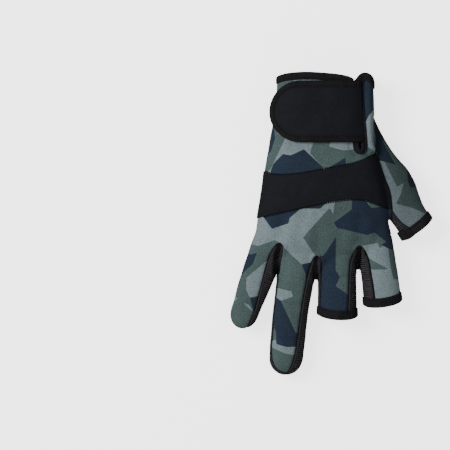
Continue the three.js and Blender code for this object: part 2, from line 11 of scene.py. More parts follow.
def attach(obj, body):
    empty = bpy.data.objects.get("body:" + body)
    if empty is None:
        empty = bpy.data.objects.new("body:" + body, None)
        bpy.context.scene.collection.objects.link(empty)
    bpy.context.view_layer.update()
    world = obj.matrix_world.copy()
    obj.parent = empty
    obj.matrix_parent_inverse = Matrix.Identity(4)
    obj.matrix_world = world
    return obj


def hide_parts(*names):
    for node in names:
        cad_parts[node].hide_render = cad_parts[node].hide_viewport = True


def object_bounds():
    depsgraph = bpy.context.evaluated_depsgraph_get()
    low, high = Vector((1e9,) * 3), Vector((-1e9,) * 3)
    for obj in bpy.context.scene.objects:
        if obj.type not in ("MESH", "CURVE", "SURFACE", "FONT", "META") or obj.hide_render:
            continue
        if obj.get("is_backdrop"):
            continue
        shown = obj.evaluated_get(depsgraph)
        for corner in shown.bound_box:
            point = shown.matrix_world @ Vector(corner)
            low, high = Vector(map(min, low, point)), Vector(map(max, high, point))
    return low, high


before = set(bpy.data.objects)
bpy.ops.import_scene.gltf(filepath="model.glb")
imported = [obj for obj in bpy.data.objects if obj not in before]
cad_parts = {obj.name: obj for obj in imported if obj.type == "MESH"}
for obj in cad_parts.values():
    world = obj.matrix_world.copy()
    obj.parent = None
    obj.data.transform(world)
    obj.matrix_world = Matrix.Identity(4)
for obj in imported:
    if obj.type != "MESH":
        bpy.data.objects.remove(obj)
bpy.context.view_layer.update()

# Studio: the glove lies palm down on a pale sweep and is seen from straight above, right of the middle
# of the picture. A softbox from the upper left, a weak fill from the fingers' side and a dim room light
# it. The sweep is a lit one, so it is nearly white, and it throws no light on the glove.
camera_data = bpy.data.cameras.new("camera")
camera_data.sensor_width = 36.0
camera_data.lens = 195.0
camera_data.clip_end = 20.0
camera = bpy.data.objects.new("camera", camera_data)
camera.location = (-0.0867, -0.0008, 2.02)
bpy.context.scene.collection.objects.link(camera)
bpy.context.scene.camera = camera


def linear(code):
    """Linear colour of an sRGB hex value."""
    parts = [int(code[i:i + 2], 16) / 255 for i in (0, 2, 4)]
    return tuple(c / 12.92 if c <= 0.04045 else ((c + 0.055) / 1.055) ** 2.4 for c in parts) + (1.0,)


def add_node(tree, kind, inputs=(), **settings):
    """Adds a shader node with its settings, and fills its inputs with values or other nodes' outputs."""
    node = tree.nodes.new("ShaderNode" + kind)
    for name, value in settings.items():
        setattr(node, name, value)
    for name, value in dict(inputs).items():
        if isinstance(value, bpy.types.NodeSocket):
            tree.links.new(value, node.inputs[name])
        else:
            node.inputs[name].default_value = value
    return node


def start_material(name, **shader_values):
    """A material with its shader's own sockets set: itself, its tree, its shader and object coordinates."""
    material = bpy.data.materials.new(name)
    material.use_nodes = True
    shader = material.node_tree.nodes["Principled BSDF"]
    for socket, value in shader_values.items():
        shader.inputs[socket.replace("_", " ")].default_value = value
    place = add_node(material.node_tree, "TexCoord").outputs["Object"]
    return material, material.node_tree, shader, place


for name, place, size, power in (
    ("key_softbox", (-1.1, 0.5, 1.15), 0.7, 29.0),
    ("finger_side_fill", (0.2, -1.3, 0.9), 0.9, 4.0),
):
    light_data = bpy.data.lights.new(name, "AREA")
    light_data.shape = "SQUARE"
    light_data.size = size
    light_data.energy = power
    light = bpy.data.objects.new(name, light_data)
    light.location = place
    light.rotation_euler = (-Vector(place)).to_track_quat("-Z", "Y").to_euler()
    bpy.context.scene.collection.objects.link(light)

world = bpy.data.worlds.new("dim_room")
world.use_nodes = True
world.node_tree.nodes["Background"].inputs["Color"].default_value = (1.0, 1.0, 1.0, 1.0)
world.node_tree.nodes["Background"].inputs["Strength"].default_value = 0.44
bpy.context.scene.world = world

bpy.ops.object.select_all(action="DESELECT")
bpy.ops.mesh.primitive_plane_add(size=6.0, location=(0, 0, -0.0004))
floor = bpy.context.object
floor.name = "pale_floor"
sweep_paper, tree, shader, _ = start_material(
    "lit_sweep_paper", Roughness=0.9, Emission_Color=linear("FFFFFF"), Emission_Strength=2.5)
grain = add_node(tree, "TexNoise", {"Scale": 60.0, "Detail": 3.0})
tint = add_node(tree, "Mix", {"Factor": grain.outputs["Fac"], 6: linear("F4F4F4"), 7: linear("F7F7F7")},
                data_type="RGBA")
tree.links.new(tint.outputs[2], shader.inputs["Base Color"])
floor.data.materials.append(sweep_paper)
floor.visible_diffuse = False
floor.visible_glossy = False
floor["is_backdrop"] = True

# Form of the glove: the hand and five fingers are lofted from short tables of sections and merged into
# one smooth closed form. The sewn panels are all cut from this one form, so their edges meet.
HAND_LENGTH = 152.0
HAND_WIDTH = 110.0
HAND_THICKNESS = 33.0
PLAN_ORIGIN = np.array([0.59, -30.07])
VOXEL = 1.0

# along, left, right, high, low, lift
HAND_ROWS = np.array([
    [-0.08, -0.46, 0.36, 0.3, 0.16, 0],
    [-0.045, -0.51, 0.42, 0.5, 0.04, 0],
    [0.01, -0.55, 0.436, 0.67, 0, 0],
    [0.09, -0.562, 0.424, 0.82, 0, 0],
    [0.2, -0.55, 0.424, 0.93, 0, 0],
    [0.34, -0.518, 0.43, 0.99, 0, 0],
    [0.48, -0.496, 0.392, 1, 0, 0],
    [0.62, -0.46, 0.345, 0.99, 0, 0],
    [0.735, -0.432, 0.328, 0.96, 0, 0],
    [0.78, -0.414, 0.318, 0.94, 0.03, 0],
    [0.83, -0.412, 0.315, 0.95, 0, 0],
    [0.92, -0.405, 0.31, 0.94, 0, 1],
    [1.08, -0.398, 0.305, 0.9, 0, 1],
])
# along, width, thickness, shift, lift
PINKY_ROWS = np.array([
    [0, 0.94, 1.18, 0, 0],
    [0.22, 0.975, 1.12, -0.0125, 0],
    [0.42, 0.95, 1.02, -0.02, 0],
    [0.62, 0.9, 0.95, -0.03, 0],
    [0.8, 0.805, 0.9, -0.0425, 0],
    [1.0, 0.785, 0.9, -0.0575, 0],
])
RING_ROWS = np.array([
    [0, 0.94, 1.18, 0, 0],
    [0.22, 1, 1.12, 0, 0],
    [0.42, 0.99, 1.02, -0.01, 0],
    [0.55, 0.96, 0.98, -0.03, 0],
    [0.65, 0.94, 0.95, -0.03, 0],
    [0.79, 0.94, 0.9, -0.02, 0],
    [0.9, 0.9, 0.9, 0, 0],
    [1.0, 0.85, 0.9, 0.01, 0],
])
CUT_ROWS = np.array([
    [0, 0.72, 1.12, 0, 0],
    [0.26, 0.87, 1.06, 0, 0],
    [0.5, 0.94, 1.01, 0, 0],
    [0.66, 0.985, 1, 0, 0],
    [0.86, 1, 1, 0, 1],
    [1.12, 1, 1, 0, 1],
])
THUMB_ROWS = np.array([
    [0, 1.06, 0.8, 0.14, 0],
    [0.12, 1.12, 0.92, 0.14, 0],
    [0.25, 1.09, 0.98, 0.1, 0],
    [0.45, 1.12, 1.05, 0.055, 0],
    [0.62, 1.16, 1.04, 0.085, 0],
    [0.72, 1.14, 1.02, 0.065, 0],
    [0.84, 0.978, 1, 0.041, 0.5],
    [0.92, 0.91, 0.98, 0.0156, 1],
    [1.12, 0.88, 0.96, 0, 1],
])
# length, width, thickness, root in plan shares, lean in degrees, sections, closed tip
FINGERS = {
    "pinky": (96.0, 28.0, 19.5, (-0.391, 0.23), -19.0, PINKY_ROWS, True),
    "ring": (129.6, 29.6, 21.5, (-0.213, 0.23), -6.6, RING_ROWS, True),
    "middle": (81.5, 30.8, 22.0, (0.0475, 0.23), 0.0, CUT_ROWS, False),
    "index": (70.4, 29.6, 22.0, (0.3205, 0.23), 6.0, CUT_ROWS, False),
    "thumb": (100.0, 31.0, 22.0, (0.1, 0.737), 35.0, THUMB_ROWS, False),
}
EDGE_LIFT = 1.5
TIP_SHARE = 0.46


def plan(pairs):
    """Plan shares to millimetres in the glove's own frame."""
    return np.asarray(pairs, float) * [HAND_WIDTH, HAND_LENGTH] + PLAN_ORIGIN


def seam_height(y):
    """Height of the side seam, where each section is widest."""
    return 12.0 + 5.0 * (y - PLAN_ORIGIN[1]) / HAND_LENGTH


def along_table(rows, column, at):
    """A table's column as a smooth line that never overshoots its values."""
    xs, ys = rows[:, 0], rows[:, column]
    steps = np.diff(ys) / np.diff(xs)
    slopes = np.zeros(len(xs))
    both = steps[:-1] * steps[1:]
    slopes[1:-1] = np.where(both > 0, 2 * both / (steps[:-1] + steps[1:] + (both <= 0)), 0)
    i = np.clip(np.searchsorted(xs, at, side="right") - 1, 0, len(xs) - 2)
    h = xs[i + 1] - xs[i]
    t = np.clip((at - xs[i]) / h, 0, 1)
    return (ys[i] * (1 + 2 * t) * (1 - t) ** 2 + slopes[i] * h * t * (1 - t) ** 2
            + ys[i + 1] * t * t * (3 - 2 * t) + slopes[i + 1] * h * t * t * (t - 1))


def section(centre, across, half, low, middle, high, power):
    """A closed section: flat sole, round corners, arched back."""
    corner = min(0.6 * half, middle - low)
    flat_half = half - corner
    quarter = np.linspace(0, math.pi / 2, 9)
    angles = np.linspace(0, math.pi, 49)[1:]
    c, s = np.cos(angles), np.sin(angles)
    rise = middle - (middle - low) * np.cos(quarter)
    u = np.concatenate([
        np.linspace(-flat_half, flat_half, 25)[:-1],
        flat_half + corner * np.sin(quarter),
        half * np.sign(c) * np.abs(c) ** (2 / power),
        (-flat_half - corner * np.sin(quarter))[::-1][1:-1],
    ])
    z = np.concatenate([
        np.full(24, low),
        rise,
        middle + (high - middle) * np.abs(s) ** (2 / power),
        rise[::-1][1:-1],
    ])
    return np.column_stack([centre[0] + across[0] * u, centre[1] + across[1] * u, z])


def hand_values(y, grow=0.0):
    """Centre, half width, floor, side and top of the hand at a height along it."""
    share = (y - PLAN_ORIGIN[1]) / HAND_LENGTH
    left, right, high, low, lift = (along_table(HAND_ROWS, k, share) for k in range(1, 6))
    centre = (left + right) / 2 * HAND_WIDTH + PLAN_ORIGIN[0]
    return (centre, (right - left) / 2 * HAND_WIDTH + grow, low * HAND_THICKNESS + lift * EDGE_LIFT - grow,
            seam_height(y), high * HAND_THICKNESS + grow)


def finger_frame(name):
    """Root, direction along and direction across a finger, in plan."""
    lean = math.radians(FINGERS[name][4])
    return (plan([FINGERS[name][3]])[0], np.array([math.sin(lean), -math.cos(lean)]),
            np.array([math.cos(lean), math.sin(lean)]))


def finger_point(name, share, side):
    """The plan point at a share of a finger's length and of its half width."""
    length, width, _, _, _, rows, _ = FINGERS[name]
    root, along, across = finger_frame(name)
    u = (along_table(rows, 3, share) + side * along_table(rows, 1, share) / 2) * width
    return root + along * share * length + across * u


def finger_ring(name, share, close=1.0, back=0.0):
    """A section of a finger, drawn together by close towards a round tip."""
    length, width, thickness, _, _, rows, _ = FINGERS[name]
    _, along, across = finger_frame(name)
    centre = finger_point(name, share, 0) + along * back
    middle = seam_height(centre[1])
    high = along_table(rows, 2, share) * thickness
    low = along_table(rows, 4, share) * EDGE_LIFT
    half = along_table(rows, 1, share) / 2 * width
    return section(centre, across, half * close, middle - (middle - low) * close, middle,
                   middle + (high - middle) * close, 2.2)


def lofted(bm, rings):
    """Adds a closed loft through equal rings."""
    rows = [[bm.verts.new(p * 0.001) for p in ring] for ring in rings]
    for a, b in zip(rows, rows[1:]):
        for k in range(len(a)):
            j = (k + 1) % len(a)
            bm.faces.new((a[k], a[j], b[j], b[k]))
    bm.faces.new(rows[0][::-1])
    bm.faces.new(rows[-1])


# the end of the hand is drawn back from this height on, fully so after this reach
WEB_START = -12.0
WEB_REACH = 30.0
# how far the web between the fingers lies back towards the wrist, across the hand
WEB_AT = [-62, -44, -30, -11, 5, 23, 40, 60]
WEB_BACK = [0, 11.0, 0, -4.5, 2, 14.0, 4, 0]


def webbed(ring):
    """Draws the end of the hand back between some fingers and out between others."""
    share = np.clip((WEB_START - ring[:, 1]) / WEB_REACH, 0, 1)
    ring[:, 1] += share * np.interp(ring[:, 0], WEB_AT, WEB_BACK)
    return ring


form = bmesh.new()
lofted(form, [webbed(section((v[0], y), (1, 0), *v[1:], 2.5)) for y in np.linspace(-42.2, 134.0, 60)
              for v in [hand_values(y)]])
for name, (length, width, *_rest, closed) in FINGERS.items():
    if closed:
        tip = TIP_SHARE * width
        start = 1 - tip / length
        rings = [finger_ring(name, s) for s in np.linspace(0, start, 34)]
        for a in np.linspace(0, math.pi / 2, 12)[1:-1]:
            rings.append(finger_ring(name, start, math.cos(a), tip * math.sin(a)))
        rings.append(finger_ring(name, start, 0.05, tip * 0.999))
    else:
        rings = [finger_ring(name, s) for s in np.linspace(0, 1.12, 34)]
    lofted(form, rings)
bmesh.ops.recalc_face_normals(form, faces=form.faces)
form_mesh = bpy.data.meshes.new("glove_form")
form.to_mesh(form_mesh)
form.free()
form_object = bpy.data.objects.new("glove_form", form_mesh)
bpy.context.scene.collection.objects.link(form_object)
remesh = form_object.modifiers.new("merge", "REMESH")
remesh.mode = "VOXEL"
remesh.voxel_size = VOXEL * 0.001
merged = form_object.evaluated_get(bpy.context.evaluated_depsgraph_get()).to_mesh()
skin_bm = bmesh.new()
skin_bm.from_mesh(merged)
bpy.data.objects.remove(form_object)


def relaxed(points, edges, rounds, share):
    """Evens a mesh's points out towards the middle of their neighbours."""
    count = np.bincount(edges.ravel(), minlength=len(points))[:, None]
    for _ in range(rounds):
        total = np.zeros_like(points)
        np.add.at(total, edges[:, 0], points[edges[:, 1]])
        np.add.at(total, edges[:, 1], points[edges[:, 0]])
        points = points + share * (total / count - points)
    return points


skin_bm.verts.index_update()
points = np.array([v.co for v in skin_bm.verts]) * 1000
edges = np.array([[e.verts[0].index, e.verts[1].index] for e in skin_bm.edges])
points = relaxed(points, edges, 10, 0.5)
for vert, p in zip(skin_bm.verts, points):
    vert.co = p
# evening the points out draws the sides in, so they are let out again
LET_OUT = 0.8
skin_bm.normal_update()
for vert in skin_bm.verts:
    vert.co.xy += vert.normal.xy * LET_OUT

# Seam lines in plan, in millimetres, each from the wrist towards the fingers. They cut the form into the
# printed back, the leather palm, the two sides of the thumb and the strips between the fingers.


def rounded(line):
    """Cuts a line's corners until it runs smoothly."""
    line = np.asarray(line, float)
    for _ in range(3):
        before, after = line[:-1], line[1:]
        cut = np.empty((2 * len(before), 2))
        cut[0::2] = before * 0.75 + after * 0.25
        cut[1::2] = before * 0.25 + after * 0.75
        line = np.vstack([line[:1], cut, line[-1:]])
    return line


def inside_by(every, outline):
    """Distance to a closed outline in plan, positive inside it and cut short far from it."""
    close = ((every > outline.min(axis=0) - 8) & (every < outline.max(axis=0) + 8)).all(axis=1)
    points = every[close]
    nearest = np.full(len(points), 1e9)
    inside = np.zeros(len(points), bool)
    for a, b in zip(outline, np.roll(outline, -1, axis=0)):
        way = b - a
        if not way.any():
            continue
        t = np.clip(((points - a) @ way) / (way @ way), 0, 1)
        nearest = np.minimum(nearest, np.linalg.norm(points - a - t[:, None] * way, axis=1))
        if a[1] != b[1]:
            crosses = (a[1] > points[:, 1]) != (b[1] > points[:, 1])
            inside ^= crosses & (points[:, 0] < way[0] * (points[:, 1] - a[1]) / way[1] + a[0])
    result = np.full(len(every), -30.0)
    result[close] = np.where(inside, nearest, -nearest)
    return result


THUMB_SEAM_BACK = rounded(plan([
    [0.327, 0.79], [0.322, 0.76], [0.326, 0.72], [0.334, 0.635], [0.341, 0.576], [0.356, 0.546],
    [0.4, 0.437], [0.428, 0.392], [0.441, 0.355], [0.446, 0.316], [0.452, 0.272]]))
THUMB_LEATHER_EDGE = rounded(plan([
    [0.452, 0.272], [0.482, 0.237], [0.527, 0.201], [0.582, 0.176], [0.64, 0.15]]))
THUMB_SEAM_PALM = rounded(plan([
    [0.212, 0.783], [0.173, 0.724], [0.141, 0.645], [0.136, 0.566], [0.145, 0.474], [0.182, 0.395],
    [0.245, 0.329], [0.309, 0.289], [0.382, 0.27], [0.437, 0.22]]))
OUTER_STRIP_EDGE = rounded(plan([
    [0.212, 0.783], [0.345, 0.66], [0.41, 0.6], [0.465, 0.553], [0.515, 0.5], [0.555, 0.454], [0.59, 0.4],
    [0.62, 0.35], [0.655, 0.276], [0.7, 0.2]]))
CROTCH_LINE = plan([[0.452, 0.272], [0.447, 0.215], [0.477, 0.15], [0.54, 0.02]])
CUFF_EDGE = rounded(plan([
    [-0.5, 0.95], [-0.43, 0.975], [-0.39, 0.995], [-0.3, 1.006], [-0.16, 1.008], [-0.03, 1.001],
    [0.08, 0.993], [0.145, 0.98], [0.178, 0.966], [0.195, 0.97], [0.21, 0.995], [0.237, 1.008],
    [0.268, 1.002], [0.295, 0.978], [0.315, 0.955], [0.4, 0.93]]))
# the two fingers, then on the palm the apex and how far out each finger's seam runs at root and tip
STRIPS = {
    "fourchette_pinky_ring": ("pinky", "ring", (-0.36, 0.066), (0.78, 0.9), (0.5, 0.8)),
    "fourchette_ring_middle": ("ring", "middle", (-0.098, -0.013), (0.93, 0.97), (0.68, 0.68)),
    "fourchette_middle_index": ("middle", "index", (0.195, 0.033), (0.76, 0.76), (0.93, 0.93)),
}
# the same seams on the back: up one finger, over the apex and down the next
BACK_SEAMS = {
    "fourchette_pinky_ring": [
        (-71.5, -92), (-68, -85), (-65.5, -80), (-62.5, -73), (-58.5, -57), (-56, -48), (-54.4, -40),
        (-51.7, -30), (-49.6, -24), (-47, -19.6), (-44.2, -16.6), (-41.4, -16), (-39.4, -18.6),
        (-39.6, -24), (-40.5, -30.5), (-42, -39), (-43.9, -48), (-45.1, -56), (-46.4, -66), (-47.2, -78),
        (-48, -88), (-48.8, -96), (-49.1, -102), (-49, -108), (-47.9, -114), (-45.6, -118), (-42.6, -120.6),
        (-39, -122), (-35.5, -122.6)],
    "fourchette_ring_middle": [
        (-38, -128), (-36, -124), (-33.3, -119), (-30.3, -113), (-27.5, -100), (-24.5, -75), (-20.5, -50),
        (-18, -40), (-16.8, -34), (-15, -29.5), (-12.6, -26.8), (-9.6, -26.8), (-8, -30), (-7.4, -35),
        (-8, -45), (-9, -60), (-9.4, -90)],
    "fourchette_middle_index": [
        (14, -90), (14.5, -70), (15.5, -40), (16.2, -31), (18, -25), (20, -21), (22.6, -18.3),
        (25.4, -18.6), (28, -21.6), (30, -26), (31.7, -33), (33, -42), (34.6, -50), (36, -60), (37.5, -90)],
}


def notch(first, second, apex, first_out, second_out):
    """Outline of a strip on the palm: up one finger to its apex and down the next."""
    top = plan([apex])[0]

    def side(name, sign, outs):
        root, along, _ = finger_frame(name)
        length, closed = FINGERS[name][0], FINGERS[name][6]
        start = (top[1] - 8.5 - root[1]) / along[1] / length
        stop = 1.0 if closed else 1.1
        tip = 1 - TIP_SHARE * FINGERS[name][1] / length
        line = []
        for t in np.linspace(0, 1, 24):
            share = start + (stop - start) * t
            close = 1.0 - max(0.0, (share - tip) / (1 - tip)) ** 2 if closed else 1.0
            out = (outs[0] + (outs[1] - outs[0]) * t) * math.sqrt(max(close, 0.0))
            line.append(finger_point(name, share, sign * out))
        return line

    return side(first, 1, first_out)[::-1] + [top + [-3.0, -2.4], top + [0, 0.6], top + [3.0, -2.4]] + side(
        second, -1, second_out)


def strip_outline(line):
    """A strip's seam rounded off and closed far past the fingertips."""
    line = rounded(line)
    return np.vstack([line, [[line[-1][0], -140], [line[0][0], -140]]])


BACK_NOTCHES = {name: strip_outline(line) for name, line in BACK_SEAMS.items()}
PALM_NOTCHES = {name: strip_outline(notch(*values)) for name, values in STRIPS.items()}
THUMB_BACK = np.vstack([THUMB_SEAM_BACK, THUMB_LEATHER_EDGE[1:], plan([[0.9, 0.05], [1.1, 0.76]])])
THUMB_INNER = np.vstack([THUMB_LEATHER_EDGE, plan([[0.62, 0.0]]), CROTCH_LINE[1:][::-1]])
THUMB_SOLE = np.vstack([THUMB_SEAM_PALM, CROTCH_LINE[2:], plan([[0.7, 0.0]]), OUTER_STRIP_EDGE[1:][::-1]])
OUTER_STRIP = np.vstack([OUTER_STRIP_EDGE, plan([[1.1, 0.1], [1.1, 0.783]])])
WRIST_STRIP = plan([[0.182, 1.1], [0.19, 0.86], [0.212, 0.783], [0.9, 0.783], [0.9, 1.1]])

BAND_TOP = rounded(plan([
    [-0.56, 0.5], [-0.5, 0.484], [-0.455, 0.468], [-0.41, 0.461], [-0.27, 0.464], [-0.09, 0.487],
    [0.09, 0.513], [0.182, 0.526], [0.255, 0.549], [0.336, 0.577], [0.4, 0.6]]))
BAND_LOW = rounded(plan([
    [0.5, 0.262], [0.444, 0.278], [0.364, 0.296], [0.273, 0.322], [0.2, 0.332], [0.09, 0.33], [0, 0.319],
    [-0.136, 0.299], [-0.318, 0.27], [-0.455, 0.247], [-0.58, 0.222]]))
BAND = np.vstack([BAND_TOP, plan([[0.6, 0.5], [0.6, 0.26]]), BAND_LOW, plan([[-0.7, 0.3], [-0.7, 0.5]])])

SLIT_TOP = plan([[0.175, 0.957]])[0]
SLIT_END = SLIT_TOP + [4.2, -54.0]
SLIT_LENGTH = np.linalg.norm(SLIT_END - SLIT_TOP)
SLIT_WAY = (SLIT_END - SLIT_TOP) / SLIT_LENGTH
SLIT_HALF = 1.6


def from_slit(points):
    """Distance outside the vent's outline, a slot with a round end that runs out through the cuff."""
    rel = points - SLIT_TOP
    t = np.clip(rel @ SLIT_WAY, -40, SLIT_LENGTH)
    return np.linalg.norm(rel - t[:, None] * SLIT_WAY, axis=1) - SLIT_HALF


# how far the corners of a cut edge are drawn in; then how far its middle runs past its ends, its lean from
# square, and how far it lies past the finger's nominal length
OPENING_CORNER = 0.9
OPENING_BOWS = {"middle": (1.8, 0.055, -1.0), "index": (1.6, -0.03, 0.2), "thumb": (1.8, -0.02, 4.2)}


def past_opening(points, name):
    """Distance past a cut finger's opening, far below nought away from that finger."""
    length, width = FINGERS[name][:2]
    _, along, across = finger_frame(name)
    rel = points[:, :2] - finger_point(name, 1.0, 0)
    bow, lean, extra = OPENING_BOWS[name]
    aside = np.abs(rel @ across / width * 2)
    past = rel @ along - extra - bow * (1 - aside ** 2) - lean * (rel @ across)
    past += OPENING_CORNER * aside ** 8
    near = (np.abs(rel @ across) < 0.68 * width) & (rel @ along > -12)
    return np.where(near, past, -30.0)


def cuff_height(x):
    """Height of the cuff's cut edge across the wrist."""
    return np.interp(x, CUFF_EDGE[:, 0], CUFF_EDGE[:, 1])


def cut_where(bm, field, allowed=None):
    """Cuts faces along the line where a field is nought, so that the line runs along edges."""
    bm.verts.index_update()
    at = np.array([v.co for v in bm.verts])
    value = field(at)
    ok = np.ones(len(at), bool) if allowed is None else allowed(at)
    every = list(bm.edges)
    ends = np.array([[e.verts[0].index, e.verts[1].index] for e in every])
    verts = list(bm.verts)
    crossing = ok[ends].all(axis=1) & (value[ends[:, 0]] * value[ends[:, 1]] < 0)
    crossing &= np.abs(value[ends]).max(axis=1) < 6
    share = value[ends[:, 0]] / (value[ends[:, 0]] - value[ends[:, 1]] + 1e-12)
    for k in np.nonzero(crossing)[0]:
        if 0.15 < share[k] < 0.85:
            continue
        mover, other, t = (ends[k, 0], ends[k, 1], share[k]) if share[k] < 0.5 else (
            ends[k, 1], ends[k, 0], 1 - share[k])
        if value[mover] != 0:
            verts[mover].co = verts[mover].co.lerp(verts[other].co, t)
            value[mover] = 0
    on_line = {verts[i] for i in np.nonzero((value == 0) & ok)[0]}
    faces = set()
    for k in np.nonzero(crossing)[0]:
        a, b = ends[k]
        if value[a] == 0 or value[b] == 0:
            continue
        edge = every[k]
        faces.update(edge.link_faces)
        _, new = bmesh.utils.edge_split(edge, verts[a], value[a] / (value[a] - value[b]))
        on_line.add(new)
    for vert in list(on_line):
        faces.update(vert.link_faces)
    for face in faces:
        ring = list(face.verts)
        marked = [k for k, v in enumerate(ring) if v in on_line]
        if len(marked) < 2:
            continue
        best = max(((i, j) for i in marked for j in marked if j > i),
                   key=lambda p: min(p[1] - p[0], len(ring) - p[1] + p[0]))
        if min(best[1] - best[0], len(ring) - best[1] + best[0]) > 1:
            bmesh.utils.face_split(face, ring[best[0]], ring[best[1]])


# the side seam runs this far under the widest line, so the back's cloth wraps round the edge
SEAM_DROP = 1.7


def over_seam(at):
    """Height over the side seam."""
    return at[:, 2] - seam_height(at[:, 1]) + SEAM_DROP


def is_above(at):
    return over_seam(at) > -0.02


def is_below(at):
    return over_seam(at) < 0.02


cut_where(skin_bm, over_seam)
cut_where(skin_bm, lambda at: at[:, 1] - cuff_height(at[:, 0]))
cut_where(skin_bm, lambda at: from_slit(at[:, :2]), is_above)
for name in ("middle", "index", "thumb"):
    cut_where(skin_bm, lambda at: past_opening(at, name))
every_face = list(skin_bm.faces)
middles = np.array([f.calc_center_median() for f in every_face])
gone = middles[:, 1] > cuff_height(middles[:, 0])
gone |= is_above(middles) & (from_slit(middles[:, :2]) < 0)
for name in ("middle", "index", "thumb"):
    gone |= past_opening(middles, name) > 0
bmesh.ops.delete(skin_bm, geom=[every_face[k] for k in np.nonzero(gone)[0]], context="FACES")
for area in (THUMB_BACK, BAND, *BACK_NOTCHES.values()):
    cut_where(skin_bm, lambda at: inside_by(at[:, :2], area), is_above)
for area in (THUMB_SOLE, OUTER_STRIP, WRIST_STRIP, *PALM_NOTCHES.values()):
    cut_where(skin_bm, lambda at: inside_by(at[:, :2], area), is_below)
cut_where(skin_bm, lambda at: inside_by(at[:, :2], THUMB_INNER))

PANELS = ["back_panel", "palm_panel", "thumb_back_panel", "thumb_palm_panel", *STRIPS]
skin_mesh = bpy.data.meshes.new("skin")
skin_bm.to_mesh(skin_mesh)
skin_bm.free()
centres = np.array([f.center for f in skin_mesh.polygons])
above = is_above(centres)
panel_of = np.where(above, 0, 1)
flat = centres[:, :2]
panel_of[above & (inside_by(flat, THUMB_BACK) > 0)] = 2
panel_of[~above & (inside_by(flat, WRIST_STRIP) > 0)] = 0
panel_of[~above & (inside_by(flat, THUMB_SOLE) > 0)] = 3
panel_of[~above & (inside_by(flat, OUTER_STRIP) > 0)] = 2
panel_of[inside_by(flat, THUMB_INNER) > 0] = 3
for k, name in enumerate(STRIPS):
    panel_of[above & (inside_by(flat, BACK_NOTCHES[name]) > 0)] = 4 + k
    panel_of[~above & (inside_by(flat, PALM_NOTCHES[name]) > 0)] = 4 + k
skin_faces = [tuple(f.vertices) for f in skin_mesh.polygons]
skin_points = np.array([v.co for v in skin_mesh.vertices])
corner_vert = np.array([v for f in skin_faces for v in f])
corner_panel = np.repeat(panel_of, [len(f) for f in skin_faces])


def normals_of(points):
    """Smooth outward normals of the skin with its points moved."""
    skin_mesh.vertices.foreach_set("co", points.ravel())
    skin_mesh.update()
    found = np.empty(len(points) * 3)
    skin_mesh.vertex_normals.foreach_get("vector", found)
    return found.reshape(-1, 3)


def distance_to(points, marked):
    """Distance from each point to the nearest of the marked ones."""
    tree = KDTree(len(marked))
    for k, p in enumerate(marked):
        tree.insert(p, k)
    tree.balance()
    return np.array([tree.find(p)[2] for p in points])


least = np.full(len(skin_points), 99)
most = np.full(len(skin_points), -1)
np.minimum.at(least, corner_vert, corner_panel)
np.maximum.at(most, corner_vert, corner_panel)
seam_distance = distance_to(skin_points, skin_points[least != most])
side_seam = ((least == 0) & (most == 1)) | ((least == 1) & (most == 2)) | ((least == 2) & (most == 3))
shown_distance = distance_to(skin_points, skin_points[(least != most) & ~side_seam])

# The hang of the cloth: soft dents at the finger roots and the thumb, folds at the thumb's crotch on the
# palm, puckers along the wrist elastic, and the vent's raised roll. Depths are in millimetres, inwards.
# side, line in plan, half width, depth
FOLDS = [
    ("back", [(31.0, 123), (31.0, 90), (32.0, 68), (34, 61)], 3.2, -2.6),
    ("back", [(28, 60), (33, 59.5), (39, 58.5)], 1.4, 0.9),
    ("back", [(26, 57.5), (31, 56), (36, 56.5)], 1.2, 0.7),
    ("back", [(14, 68), (16, 61), (20, 57)], 1.5, 0.5),
    ("back", [(-42, -19), (-44, -28), (-44.5, -39)], 2.0, 4.2),
    ("back", [(-11.3, -29), (-12, -36), (-12.2, -44)], 1.8, 3.8),
    ("back", [(24, -21), (23, -28), (22.5, -36)], 1.8, 3.8),
    ("back", [(-43, -12), (-40, 4)], 5.0, 1.1),
    ("back", [(-11, -23), (-10, -6)], 5.0, 1.1),
    ("back", [(24, -15), (23, 2)], 5.0, 1.1),
    ("back", [(37, 80), (38, 60), (44, 38), (49, 20)], 5.0, 1.2),
    ("back", [(44, 38), (50, 36.5)], 1.2, 0.6),
    ("back", [(52, 33), (64, 27), (72, 27)], 2.4, 0.45),
    ("back", [(54, 24), (64, 19), (74, 18)], 2.6, 0.4),
    ("back", [(-74, -44), (-62, -50), (-54, -50)], 2.6, 0.5),
    ("back", [(-48, -66), (-36, -69), (-24, -66)], 2.8, 0.5),
    ("back", [(-47, -94), (-36, -97), (-24, -95)], 2.4, 0.35),
    ("back", [(-8, -42), (4, -45), (16, -43)], 2.6, 0.35),
    ("back", [(-30, 66), (-18, 58), (2, 55)], 4.0, 0.5),
    ("back", [(-50, 62), (-40, 52)], 3.0, 0.5),
    ("palm", [(52, 42), (52, 25), (50, 8)], 2.6, 1.7),
    ("palm", [(64, 42), (62, 26), (58, 8)], 2.6, 1.3),
    ("palm", [(45, 44), (42, 36), (40, 26)], 2.6, 1.2),
    ("palm", [(20, 84), (10, 66), (6, 50)], 3.4, 0.9),
    ("palm", [(0, 16), (-10, 17), (-22, 20), (-33, 23), (-43, 24)], 1.1, 0.5),
    ("palm", [(30, -6), (10, -4), (0, -3), (-15, 0), (-27, 1), (-38, 5)], 1.1, 0.5),
    ("palm", [(28, -22), (10, -20), (-20, -18), (-28, -19), (-45, -13)], 1.1, 0.5),
    ("palm", [(-76, -48), (-64, -50), (-56, -47)], 2.2, 0.6),
    ("palm", [(-48, -66), (-36, -68), (-25, -66)], 2.2, 0.6),
]


